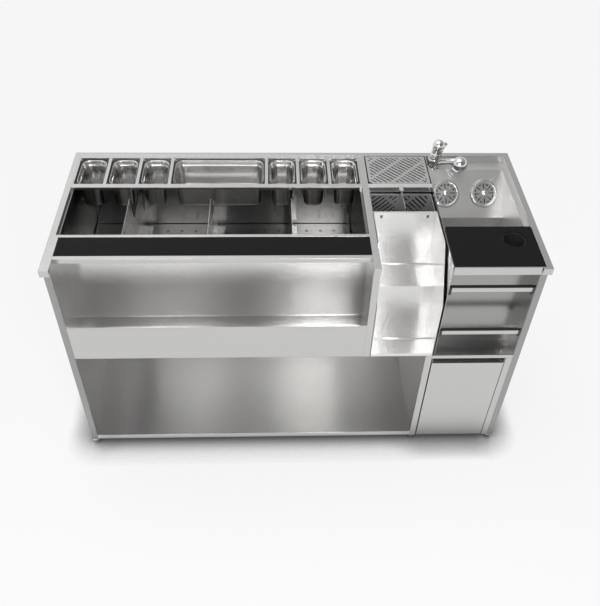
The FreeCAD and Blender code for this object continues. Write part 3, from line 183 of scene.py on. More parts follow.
def brushed_metal(name, colour, roughness, grain, depth, anisotropy, metallic=1.0,
                  painted_shade_below=0.0):
    """Metal with fine scratches along one way; grain is the stretch of the noise along X, Y and Z.

    With a height given, what lies below it is darkened as painted shade.
    """
    nodes = Nodes(name)
    across = nodes.add("ShaderNodeCombineXYZ",
                       **{axis: float(stretch > 1) for axis, stretch in zip("XYZ", grain)})
    nodes.join(across.outputs["Vector"], nodes.shader.inputs["Tangent"])
    place = nodes.add("ShaderNodeTexCoord").outputs["Object"]
    mapping = nodes.add("ShaderNodeMapping", Scale=grain)
    nodes.join(place, mapping.inputs["Vector"])
    scratches = nodes.add("ShaderNodeTexNoise", Scale=90.0, Detail=4.0, Roughness=0.7)
    nodes.join(mapping.outputs["Vector"], scratches.inputs["Vector"])
    clouds = nodes.add("ShaderNodeTexNoise", Scale=4.0, Detail=2.0)
    nodes.join(place, clouds.inputs["Vector"])

    mixed = nodes.add("ShaderNodeMath", operation="ADD")
    nodes.join(scratches.outputs["Fac"], mixed.inputs[0])
    nodes.join(clouds.outputs["Fac"], mixed.inputs[1])
    spread = nodes.add("ShaderNodeMapRange")
    spread.inputs["From Min"].default_value = 0.7
    spread.inputs["From Max"].default_value = 1.3
    spread.inputs["To Min"].default_value = roughness * 0.9
    spread.inputs["To Max"].default_value = roughness * 1.12
    nodes.join(mixed.outputs["Value"], spread.inputs["Value"])
    nodes.join(spread.outputs["Result"], nodes.shader.inputs["Roughness"])

    tint = nodes.add("ShaderNodeMix", data_type="RGBA")
    tint.inputs["A"].default_value = rgba([c * 0.93 for c in colour])
    tint.inputs["B"].default_value = rgba([min(c * 1.07, 1) for c in colour])
    nodes.join(scratches.outputs["Fac"], tint.inputs["Factor"])
    shade = tint.outputs["Result"]
    # Painted shade: below the height the colour darkens, so the slots of the drainer grid read
    # dark.
    if painted_shade_below:
        parts = nodes.add("ShaderNodeSeparateXYZ")
        nodes.join(place, parts.inputs["Vector"])
        height = nodes.add("ShaderNodeMapRange")
        height.inputs["From Min"].default_value = painted_shade_below - PAINTED_SHADE_FADE
        height.inputs["From Max"].default_value = painted_shade_below
        nodes.join(parts.outputs["Z"], height.inputs["Value"])
        painted_shade_mix = nodes.add("ShaderNodeMix", data_type="RGBA")
        painted_shade_mix.inputs["A"].default_value = rgba([c * PAINTED_SHADE_TONE for c in colour])
        nodes.join(height.outputs["Result"], painted_shade_mix.inputs["Factor"])
        nodes.join(shade, painted_shade_mix.inputs["B"])
        shade = painted_shade_mix.outputs["Result"]
    nodes.join(shade, nodes.shader.inputs["Base Color"])

    bump = nodes.add("ShaderNodeBump", Strength=depth, Distance=0.0002)
    nodes.join(scratches.outputs["Fac"], bump.inputs["Height"])
    nodes.join(bump.outputs["Normal"], nodes.shader.inputs["Normal"])
    nodes.shader.inputs["Metallic"].default_value = metallic
    nodes.shader.inputs["Anisotropic"].default_value = anisotropy
    return nodes.material


def mirror_metal(name, colour, roughness):
    """Polished metal with the faint haze of handling."""
    nodes = Nodes(name)
    place = nodes.add("ShaderNodeTexCoord").outputs["Object"]
    haze = nodes.add("ShaderNodeTexNoise", Scale=30.0, Detail=4.0)
    nodes.join(place, haze.inputs["Vector"])
    spread = nodes.add("ShaderNodeMapRange")
    spread.inputs["To Min"].default_value = roughness * 0.6
    spread.inputs["To Max"].default_value = roughness * 1.4
    nodes.join(haze.outputs["Fac"], spread.inputs["Value"])
    nodes.join(spread.outputs["Result"], nodes.shader.inputs["Roughness"])
    nodes.shader.inputs["Base Color"].default_value = rgba(colour)
    nodes.shader.inputs["Metallic"].default_value = 1.0
    return nodes.material


def grained_plastic(name, colour, roughness, grain, depth, shine=0.5):
    """Moulded or milled plastic with a fine matt grain."""
    nodes = Nodes(name)
    nodes.shader.inputs["Specular IOR Level"].default_value = shine
    place = nodes.add("ShaderNodeTexCoord").outputs["Object"]
    pits = nodes.add("ShaderNodeTexNoise", Scale=grain, Detail=5.0, Roughness=0.6)
    nodes.join(place, pits.inputs["Vector"])
    wear = nodes.add("ShaderNodeTexNoise", Scale=9.0, Detail=3.0)
    nodes.join(place, wear.inputs["Vector"])
    spread = nodes.add("ShaderNodeMapRange")
    spread.inputs["To Min"].default_value = roughness * 0.85
    spread.inputs["To Max"].default_value = roughness * 1.15
    nodes.join(wear.outputs["Fac"], spread.inputs["Value"])
    nodes.join(spread.outputs["Result"], nodes.shader.inputs["Roughness"])
    tint = nodes.add("ShaderNodeMix", data_type="RGBA")
    tint.inputs["A"].default_value = rgba([c * 0.8 for c in colour])
    tint.inputs["B"].default_value = rgba([min(c * 1.5, 1) for c in colour])
    nodes.join(pits.outputs["Fac"], tint.inputs["Factor"])
    nodes.join(tint.outputs["Result"], nodes.shader.inputs["Base Color"])
    bump = nodes.add("ShaderNodeBump", Strength=depth, Distance=0.0004)
    nodes.join(pits.outputs["Fac"], bump.inputs["Height"])
    nodes.join(bump.outputs["Normal"], nodes.shader.inputs["Normal"])
    return nodes.material


ALONG = (0.25, 14.0, 14.0)
ACROSS = (14.0, 0.25, 14.0)
TUB_GRAIN = (0.25, 14.0, 3.0)
# Painted shade: the drainer tray is darkened below this height, under its grid.
DRAINER_TRAY_SHADE_LINE = 870 * MM
# Painted dark reflection and shade: the share of the polish kept in the dark copy used on the pan
# flanges and the strainer baskets.
PAINTED_REFLECTION_SHARE = 0.16

MATERIAL_MAKERS = {
    "Steel brushed along":
        lambda name, f: brushed_metal(name, f.steel, f.steel_roughness, ALONG, 0.05, 0.75),
    "Steel bright":
        lambda name, f: brushed_metal(name, f.painted_light_steel, f.steel_roughness, ALONG, 0.05, 0.8),
    "Steel dull":
        lambda name, f: brushed_metal(name, f.painted_shade_steel, f.steel_roughness, ACROSS, 0.05, 0.6),
    "Steel worn":
        lambda name, f: brushed_metal(name, f.painted_deep_shade_steel, 0.2, TUB_GRAIN, 0.015, 0.8),
    "Steel satin":
        lambda name, f: brushed_metal(name, f.steel, 0.32, ALONG, 0.05, 0.6, metallic=0.8),
    # The tray's steel carries painted shade below its grid.
    "Steel tray":
        lambda name, f: brushed_metal(name, f.painted_light_steel, f.steel_roughness, ALONG, 0.05, 0.8,
                                      painted_shade_below=DRAINER_TRAY_SHADE_LINE),
    "Steel polished":
        lambda name, f: mirror_metal(name, f.polish, f.polish_roughness),
    "Steel shaded":
        lambda name, f: mirror_metal(name, [c * PAINTED_REFLECTION_SHARE for c in f.polish], 0.2),
    "Chrome":
        lambda name, f: mirror_metal(name, f.chrome, 0.05),
    "Black board":
        lambda name, f: grained_plastic(name, f.board, 0.42, 900.0, 0.35, shine=0.1),
    "Black plastic":
        lambda name, f: grained_plastic(name, f.trim, 0.35, 500.0, 0.2),
    "Grey plastic":
        lambda name, f: grained_plastic(name, (0.1, 0.1, 0.105), 0.4, 400.0, 0.3),
    "Foam":
        lambda name, f: grained_plastic(name, (0.7, 0.62, 0.42), 0.9, 300.0, 0.9),
    "Red mark":
        lambda name, f: grained_plastic(name, (0.55, 0.01, 0.02), 0.3, 300.0, 0.1),
}


def material(name):
    """The named finish, made the first time it is asked for."""
    return bpy.data.materials.get(name) or MATERIAL_MAKERS[name](name, finish())


SLOT_FINISH = {
    "brushed_steel": "Steel brushed along",
    "polished_steel": "Steel polished",
    "chrome": "Chrome",
    "black_board": "Black board",
    "black_plastic": "Black plastic",
    "grey_plastic": "Grey plastic",
    "foam": "Foam",
}
# Pieces that take the painted-light or painted-shade copies of the steel are listed here one by
# one; the tray's copy also has painted shade under its grid.
NODE_FINISH = {
    "left_side_panel": "Steel dull",
    "right_side_panel": "Steel dull",
    "recess_liner": "Steel dull",
    "ice_bin_casing": "Steel bright",
    "undershelf": "Steel bright",
    "back_panel": "Steel bright",
    "step_rack": "Steel bright",
    "sink_bowl": "Steel satin",
    "strainer_seats": "Steel bright",
    "drainer_tray": "Steel tray",
    "bottle_well": "Steel satin",
    "well_divider": "Steel satin",
    "ice_bin_tub": "Steel worn",
    "ice_false_floor": "Steel worn",
}


# ---------------------------------------------------------------- ways of making a mesh
def new_piece(name, bm, body, finish_name, replaced=(), smooth=35):
    """Link a finished mesh, ride it on its body and name its finish."""
    bmesh.ops.recalc_face_normals(bm, faces=bm.faces)
    mesh = bpy.data.meshes.new(name)
    bm.to_mesh(mesh)
    bm.free()
    for face in mesh.polygons:
        face.use_smooth = True
    mesh.set_sharp_from_angle(angle=math.radians(smooth))
    piece = bpy.data.objects.new(name, mesh)
    bpy.context.scene.collection.objects.link(piece)
    mesh.materials.append(material(finish_name))
    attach(piece, body)
    if replaced:
        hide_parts(*replaced)
    return piece


def join_rings(bm, rings, closed=True):
    """Skin a list of equal rings of vertices."""
    for lower, upper in zip(rings, rings[1:]):
        count = len(lower)
        for i in range(count if closed else count - 1):
            j = (i + 1) % count
            bm.faces.new((lower[i], lower[j], upper[j], upper[i]))


def round_rectangle(bm, xs, ys, z, radius, steps):
    """A ring of vertices round a rectangle with round corners."""
    (x0, x1), (y0, y1) = xs, ys
    radius = min(radius, (x1 - x0) / 2, (y1 - y0) / 2)
    ring = []
    centres = ((x1 - radius, y0 + radius, -90), (x1 - radius, y1 - radius, 0),
               (x0 + radius, y1 - radius, 90), (x0 + radius, y0 + radius, 180))
    for cx, cy, start in centres:
        for step in range(steps + 1):
            angle = math.radians(start + 90 * step / steps)
            x, y = cx + radius * math.cos(angle), cy + radius * math.sin(angle)
            ring.append(bm.verts.new((x, y, z)))
    return ring


def lathe(bm, profile, matrix, segments=48):
    """Turn (radius, height) points about Z, then place them; a radius of nothing closes the end."""
    rings = []
    for radius, height in profile:
        if radius < 1e-7:
            rings.append([bm.verts.new(matrix @ Vector((0, 0, height)))])
            continue
        ring = []
        for k in range(segments):
            angle = 2 * math.pi * k / segments
            point = Vector((radius * math.cos(angle), radius * math.sin(angle), height))
            ring.append(bm.verts.new(matrix @ point))
        rings.append(ring)
    for lower, upper in zip(rings, rings[1:]):
        for k in range(segments):
            j = (k + 1) % segments
            if len(lower) == 1 and len(upper) == 1:
                continue
            if len(lower) == 1:
                bm.faces.new((lower[0], upper[j], upper[k]))
            elif len(upper) == 1:
                bm.faces.new((lower[k], lower[j], upper[0]))
            else:
                bm.faces.new((lower[k], lower[j], upper[j], upper[k]))


def arc(centre, radius, start, end, steps):
    """Points of an arc in a profile, by angle in degrees."""
    points = []
    for step in range(steps + 1):
        angle = math.radians(start + (end - start) * step / steps)
        points.append((centre[0] + radius * math.cos(angle), centre[1] + radius * math.sin(angle)))
    return points


def body_of(node):
    return frame["nodes"][node]["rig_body"]


# ---------------------------------------------------------------- the frame's own nodes
class STATION_OT_dress_frame(Operator):
    """Give every frame node its finish, with softened edges"""

    bl_idname = "station.dress_frame"
    bl_label = "Dress the frame"

    def execute(self, context):
        slots = {entry["node"]: entry["material_slot"] for entry in frame["record"]["subparts"]}
        for name, node in frame["nodes"].items():
            finish_name = NODE_FINISH.get(name, SLOT_FINISH[slots[name]])
            node.data.materials.clear()
            node.data.materials.append(material(finish_name))
            weld = node.modifiers.new("Weld", "WELD")
            weld.merge_threshold = 0.00001
            bevel = node.modifiers.new("Edges", "BEVEL")
            bevel.width = sizes().edge
            bevel.segments = 2
            bevel.limit_method = "ANGLE"
            bevel.angle_limit = math.radians(50)
            bevel.harden_normals = True
        return {"FINISHED"}


# ---------------------------------------------------------------- pressed pans
class STATION_OT_garnish_pans(Operator):
    """Press the garnish pans: rolled flange, stacking shoulder and a rounded floor"""

    bl_idname = "station.garnish_pans"
    bl_label = "Garnish pans"

    def execute(self, context):
        for node in PAN_NODES:
            self.press(node)
        return {"FINISHED"}

    def press(self, node):
        size = sizes()
        low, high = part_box(node)
        top, gauge = high.z, 0.8 * MM
        depth = top - low.z - gauge
        lip, roll = size.pan_lip, 2.5 * MM
        profile = [(0, -0.3 * MM, lip), (0.3 * MM, 0, lip), (lip - roll, 0, lip)]
        for inset, drop in arc((lip - roll, -roll), roll, 90, 8, 4)[1:]:
            profile.append((inset, drop, size.pan_mouth))
        shoulder = size.pan_shoulder
        profile += [(lip + 1.2 * MM, -shoulder, size.pan_mouth - 1 * MM),
                    (lip + 2.0 * MM, -shoulder - 1.2 * MM, size.pan_mouth - 2 * MM),
                    (lip + 3.6 * MM, -shoulder - 2.2 * MM, size.pan_mouth - 4 * MM),
                    (lip + 4.2 * MM, -shoulder - 4.2 * MM, size.pan_mouth - 4 * MM)]
        fillet = 13 * MM
        wall_foot = lip + 7.6 * MM
        for inset, drop in arc((wall_foot + fillet, -depth + fillet), fillet, 180, 270, 6):
            corner = size.pan_mouth - 5 * MM - (inset - wall_foot) * 0.6
            profile.append((inset, drop, max(corner, 6 * MM)))
        bm = bmesh.new()
        rings = []
        for inset, drop, radius in profile:
            xs, ys = (low.x + inset, high.x - inset), (low.y + inset, high.y - inset)
            rings.append(round_rectangle(bm, xs, ys, top + drop, radius, size.corner_steps))
        join_rings(bm, rings)
        # The flange's flat top takes the dark copy of the polish, a painted dark reflection.
        for face in bm.faces:
            face.material_index = int(max(v.co.z for v in face.verts) > top - 0.2 * MM
                                      and min(v.co.z for v in face.verts) > top - 0.5 * MM)
        bm.faces.new(rings[-1])
        piece = new_piece(node + "_pressed", bm, body_of(node), "Steel polished",
                          (node,), 60)
        piece.data.materials.append(material("Steel shaded"))
        shell = piece.modifiers.new("Gauge", "SOLIDIFY")
        shell.thickness = gauge
        shell.offset = -1


# ---------------------------------------------------------------- tap
def leaning(place, turn_axis, degrees):
    return Matrix.Translation(place) @ Matrix.Rotation(math.radians(degrees), 4, turn_axis)


def tap_frame():
    """The tap's upright axis on its ledge, and the middle of the lever's cross pin."""
    joints = {joint["name"]: joint for joint in frame["joints"]}
    foot = Vector(joints["spout_swing"]["pos_m"])
    pivot = Vector(joints["lever_lift"]["pos_m"])
    return foot, pivot


class STATION_OT_tap(Operator):
    """Turn the tap: base, leaning barrel, sleeve, lever cap, spout and aerator"""

    bl_idname = "station.tap"
    bl_label = "Tap"

    def execute(self, context):
        foot, pivot = tap_frame()
        self.body(foot, pivot)
        self.cap(foot, pivot)
        self.spout(foot)
        return {"FINISHED"}

    def body(self, foot, pivot):
        upright = Matrix.Translation(foot)
        bm = bmesh.new()
        lathe(bm, [(0, -44.5 * MM), (14 * MM, -44.5 * MM), (14 * MM, 0), (24 * MM, 0)]
              + arc((22.5 * MM, 1.5 * MM), 1.5 * MM, 0, 90, 4)
              + [(18 * MM, 3 * MM), (18 * MM, 37 * MM), (0, 37 * MM)], upright)
        rod = leaning(pivot, "Y", self.lean(foot, pivot))
        lathe(bm, [(0, -50 * MM), (18.9 * MM, -50 * MM), (19 * MM, -27 * MM),
                   (18.6 * MM, -26.4 * MM), (0, -26.4 * MM)], rod)
        nut = Matrix.Translation(foot + Vector((0, 0, -10.5 * MM)))
        lathe(bm, [(14 * MM, 0), (22.6 * MM, 0), (22.6 * MM, 9 * MM), (14 * MM, 9 * MM)], nut, 6)
        new_piece("tap_barrel_turned", bm, "station", "Chrome", ("tap_body",))
        bm = bmesh.new()
        lathe(bm, [(0, -26 * MM), (18.6 * MM, -26 * MM), (19 * MM, -25.6 * MM),
                   (19 * MM, -12.6 * MM), (17.9 * MM, -13.2 * MM), (6 * MM, -24.6 * MM),
                   (6 * MM, 3 * MM), (0, 4 * MM)], rod)
        half = 14.6 * MM
        pin = leaning(pivot, "X", 90)
        lathe(bm, [(0, -half), (3.1 * MM, -half), (3.5 * MM, 0.4 * MM - half),
                   (3.5 * MM, half - 0.4 * MM), (3.1 * MM, half), (0, half)], pin, 20)
        new_piece("tap_sleeve_turned", bm, body_of("tap_cartridge"), "Chrome",
                  ("tap_cartridge",))

    def lean(self, foot, pivot):
        start = foot + Vector((0, 0, 24 * MM))
        along = pivot - start
        return math.degrees(math.atan2(along.x, along.z))

    def cap(self, foot, pivot):
        rod = leaning(pivot, "Y", self.lean(foot, pivot))
        outer, bore = 21.6 * MM, 15.5 * MM
        skirt = -math.degrees(math.asin(12 / 21.6))
        bm = bmesh.new()
        lathe(bm, [(0, bore - 3 * MM), (bore - 1 * MM, bore - 3 * MM), (bore, bore - 4 * MM),
                   (bore, -12 * MM), *arc((0, 0), outer, skirt, 90, 18)], rod, 64)
        tip = leaning(pivot, "Y", 75)
        rings = []
        sections = ((17, 9.5, 8.5), (20, 9, 8), (23, 8, 6.5), (26, 7, 5), (28.6, 6.2, 4),
                    (29.8, 5, 3))
        for reach, across, height in sections:
            ring = []
            for k in range(24):
                angle = 2 * math.pi * k / 24
                point = Vector((height * math.cos(angle), across * math.sin(angle), reach)) * MM
                ring.append(bm.verts.new(tip @ point))
            rings.append(ring)
        join_rings(bm, rings)
        bm.faces.new(rings[-1])
        bm.faces.new(rings[0][::-1])
        new_piece("tap_cap_turned", bm, body_of("tap_lever"), "Chrome", ("tap_lever",),
                  50)
        bm = bmesh.new()
        side = Matrix.Rotation(math.radians(90), 4, "X")
        dot = rod @ side @ Matrix.Translation(Vector((0, 2 * MM, outer - 0.4 * MM)))
        lathe(bm, [(0, 0), (1.9 * MM, 0), (1.9 * MM, 0.3 * MM), (1.5 * MM, 0.7 * MM),
                   (0, 0.8 * MM)], dot, 20)
        new_piece("tap_warm_mark", bm, body_of("tap_lever"), "Red mark")

    def spout(self, foot):
        low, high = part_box("tap_aerator")
        outlet = Vector(((low.x + high.x) / 2, (low.y + high.y) / 2, high.z))
        bulb = 27.5 * MM
        centre = outlet + Vector((0, 0, bulb * math.sin(math.radians(52))))
        bm = bmesh.new()
        collar = Matrix.Translation(foot + Vector((0, 0, 3.3 * MM)))
        collar_height, collar_bore, edge = 33 * MM, 18.08 * MM, 1.2 * MM
        lathe(bm, [(collar_bore, 0), (20.8 * MM, 0)] + arc((20.8 * MM, edge), edge, -90, 0, 3)
              + arc((20.8 * MM, collar_height - edge), edge, 0, 90, 3)
              + [(collar_bore, collar_height), (collar_bore, 0)], collar, 64)
        root = foot + Vector((0, 0, 14.5 * MM))
        end = centre + Vector((0, 0, 13.5 * MM))
        along = (end - root).normalized()
        turn = along.to_track_quat("Z", "X").to_matrix().to_4x4()
        arm = Matrix.Translation(root) @ turn
        length = (end - root).length
        lathe(bm, [(12 * MM, 20.4 * MM), (12 * MM, length - 6 * MM), (0, length - 6 * MM)], arm, 40)
        lathe(bm, [*arc((0, 0), bulb, -50, 90, 22)], Matrix.Translation(centre), 64)
        lathe(bm, [(bulb * math.cos(math.radians(50)), -bulb * math.sin(math.radians(50))),
                   (16 * MM, -21.6 * MM), (0, -21.6 * MM)], Matrix.Translation(centre), 64)
        new_piece("tap_spout_turned", bm, body_of("tap_spout"), "Chrome", ("tap_spout",),
                  40)
        bm = bmesh.new()
        lathe(bm, [(0, 0), (13.2 * MM, 0), (13.7 * MM, -0.6 * MM), (13.7 * MM, -3.2 * MM),
                   (13 * MM, -4 * MM), (10 * MM, -4 * MM), (9.5 * MM, -2.5 * MM), (0, -2.5 * MM)],
              Matrix.Translation(outlet), 48)
        new_piece("tap_aerator_turned", bm, body_of("tap_aerator"), "Chrome",
                  ("tap_aerator",))


# ---------------------------------------------------------------- strainers
class STATION_OT_strainers(Operator):
    """Press the two strainers: rolled rim, slotted plate, basket and knob"""

    bl_idname = "station.strainers"
    bl_label = "Strainers"

    def execute(self, context):
        joints = {joint["name"]: joint for joint in frame["joints"]}
        for side in ("left", "right"):
            node = f"strainer_{side}"
            normal = Vector(joints[f"{node}_lift"]["axis"])
            low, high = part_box(node)
            place = (low + high) / 2 - normal * 3.5 * MM
            lean = math.atan2(-normal.y, normal.z)
            self.press(node, Matrix.Translation(place) @ Matrix.Rotation(lean, 4, "X"))
        return {"FINISHED"}

    def press(self, node, place):
        bm = bmesh.new()
        rim = [(40.5, 2.4), (43, 2.0), (44.6, 2.6), (45, 3.8), (44.3, 4.8), (42.8, 5.2),
               (41.4, 4.8), (40.6, 3.9), (40.5, 2.4)]
        lathe(bm, [(radius * MM, height * MM) for radius, height in rim], place, 72)
        knob = [(9.5, 3.9), (8.6, 5.2), (5.4, 6.6), (4.8, 9.0), (6.4, 10.6), (8.4, 11.4),
                (9.0, 12.6), (7.6, 13.8), (0, 14.2)]
        lathe(bm, [(radius * MM, height * MM) for radius, height in knob], place, 40)
        self.plate(bm, place)
        new_piece(node + "_pressed", bm, body_of(node), "Steel bright", (node,),
                  40)
        # The basket's dark copy of the polish is painted shade, so the plate's slots read dark.
        bm = bmesh.new()
        basket = [(39, 2.6), (37.5, 1.5), (35.5, -7), (31, -9.5), (0, -10)]
        lathe(bm, [(radius * MM, height * MM) for radius, height in basket], place, 48)
        new_piece(node + "_basket", bm, body_of(node), "Steel shaded")

    def plate(self, bm, place):
        """A dished plate with eight long slots and a ring of short ones."""
        segments, spacing = 96, 12
        profile = ((41, 3.6), (37.5, 3.9), (34, 4.0), (30, 3.7), (28, 3.7), (15.5, 3.9), (13, 4.1),
                   (9, 4.2))
        rings = []
        for radius, height in profile:
            ring = []
            for k in range(segments):
                angle = 2 * math.pi * k / segments
                point = Vector((radius * math.cos(angle), radius * math.sin(angle), height)) * MM
                ring.append(bm.verts.new(place @ point))
            rings.append(ring)
        for level, (outer, inner) in enumerate(zip(rings, rings[1:])):
            for k in range(segments):
                long_slot = level in (2, 3, 4) and k % spacing in (0, 1)
                short_slot = level == 2 and k % spacing in (5, 6, 7, 8)
                if long_slot or short_slot:
                    continue
                j = (k + 1) % segments
                bm.faces.new((outer[k], outer[j], inner[j], inner[k]))


# ---------------------------------------------------------------- retaining bars
class STATION_OT_bar_ends(Operator):
    """Cap the ends of the retaining bars and lay a black strip on their tops as painted shade of
    the gap behind them
    """

    bl_idname = "station.bar_ends"
    bl_label = "Bar ends"

    def execute(self, context):
        for node in BAR_NODES:
            low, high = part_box(node)
            reach, proud, past = 8 * MM, 0.7 * MM, 0.2 * MM
            spans = {"left": (low.x - past, low.x + reach),
                     "right": (high.x - reach, high.x + past)}
            for side, (x0, x1) in spans.items():
                outline = [(low.y - proud, high.z + proud), (low.y + 11 * MM, high.z + proud),
                           (low.y + 11 * MM, high.z - 6 * MM), (low.y + 6 * MM, high.z - 24 * MM),
                           (low.y + 1 * MM, high.z - 27 * MM), (low.y - proud, high.z - 25 * MM)]
                self.moulding(f"{node}_end_{side}", x0, x1, outline, node)
            # Painted shade: a black strip over each bar's top stands in for the shadowed gap behind
            # the bar.
            front, rear = low.y + 1 * MM, high.y - 0.5 * MM
            outline = [(front, high.z - past), (front, high.z + 0.8 * MM),
                       (front + 1 * MM, high.z + 1.3 * MM), (rear - 1 * MM, high.z + 1.3 * MM),
                       (rear, high.z + 0.8 * MM), (rear, high.z - past)]
            self.moulding(f"{node}_shade_strip", low.x + reach, high.x - reach, outline, node)
        return {"FINISHED"}

    def moulding(self, name, x0, x1, outline, node):
        """A black plastic strip of one section along X, with rounded edges."""
        bm = bmesh.new()
        rings = [[bm.verts.new((x, y, z)) for y, z in outline] for x in (x0, x1)]
        join_rings(bm, rings)
        bm.faces.new(rings[0][::-1])
        bm.faces.new(rings[1])
        piece = new_piece(name, bm, body_of(node), "Black plastic")
        bevel = piece.modifiers.new("Edges", "BEVEL")
        bevel.width = 0.4 * MM
        bevel.segments = 2


# ---------------------------------------------------------------- trims and fasteners
class STATION_OT_divider_trims(Operator):
    """Put the black edging on the ice dividers"""

    bl_idname = "station.divider_trims"
    bl_label = "Divider trims"

    def execute(self, context):
        for node in DIVIDER_NODES:
            self.trim(node)
        return {"FINISHED"}

    def trim(self, node):
        low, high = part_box(node)
        step_front, step_rear, rear_top = 74.5 * MM, 96.5 * MM, 773 * MM
        bm = bmesh.new()
        x0, x1 = low.x - 1.2 * MM, low.x + 2.7 * MM
        path = [Vector((0, step_front, high.z - 3 * MM)), Vector((0, step_rear, rear_top))]
        along = (path[1] - path[0]).normalized()
        across = Vector((0, -along.z, along.y)) * 2.6 * MM
        section = [path[0] - across, path[0] + across, path[1] + across, path[1] - across]
        rings = [[bm.verts.new((x, point.y, point.z)) for point in section] for x in (x0, x1)]
        join_rings(bm, rings)
        bm.faces.new(rings[0][::-1])
        bm.faces.new(rings[1])
        new_piece(node + "_edging", bm, body_of(node), "Black plastic")


WALL_SCREW_HEIGHTS = (0.789, 0.589)


class STATION_OT_screws(Operator):
    """Set the pan-head screws of the recess and its floor"""

    bl_idname = "station.screws"
    bl_label = "Screws"

    def execute(self, context):
        low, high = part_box("recess_liner")
        sheet = 1.5 * MM
        for number, z in enumerate(WALL_SCREW_HEIGHTS, start=1):
            place = Vector((high.x - sheet, low.y + 22 * MM, z))
            self.screw(f"recess_screw_{number}", place, -90)
        place = Vector((high.x - 40 * MM, low.y + 14 * MM, low.z + sheet))
        self.screw("recess_screw_floor", place, 0)
        return {"FINISHED"}

    def screw(self, name, place, degrees):
        radius = sizes().screw_radius
        bm = bmesh.new()
        lathe(bm, [(radius, 0)] + arc((radius - 1.2 * MM, 0.9 * MM), 1.2 * MM, 0, 90, 4)
              + [(1.3 * MM, 2.1 * MM), (1.3 * MM, 1.2 * MM), (0, 1.2 * MM)],
              leaning(place, "Y", degrees), 24)
        new_piece(name, bm, "station", "Chrome")


# ---------------------------------------------------------------- stage
PALE = (0.93, 0.93, 0.93, 1)
FLOOR_COLOUR = (0.92, 0.92, 0.92, 1)
FLOOR_SIZE = 12
# Painted shadow: how far and how steeply ambient occlusion darkens the floor's glow near the
# object.
SHADOW_REACH = 0.11
SHADOW_POWER = 4.0
GLOW_SHARE = 0.85


def background_rays(tree):
    """One for the rays that show the background: from the camera, or through gloss and glass."""
    path = tree.nodes.new("ShaderNodeLightPath")
    value = path.outputs["Is Camera Ray"]
    for name in ("Is Glossy Ray", "Is Transmission Ray"):
        either = tree.nodes.new("ShaderNodeMath")
        either.operation = "MAXIMUM"
        tree.links.new(value, either.inputs[0])
        tree.links.new(path.outputs[name], either.inputs[1])
        value = either.outputs["Value"]
    return value


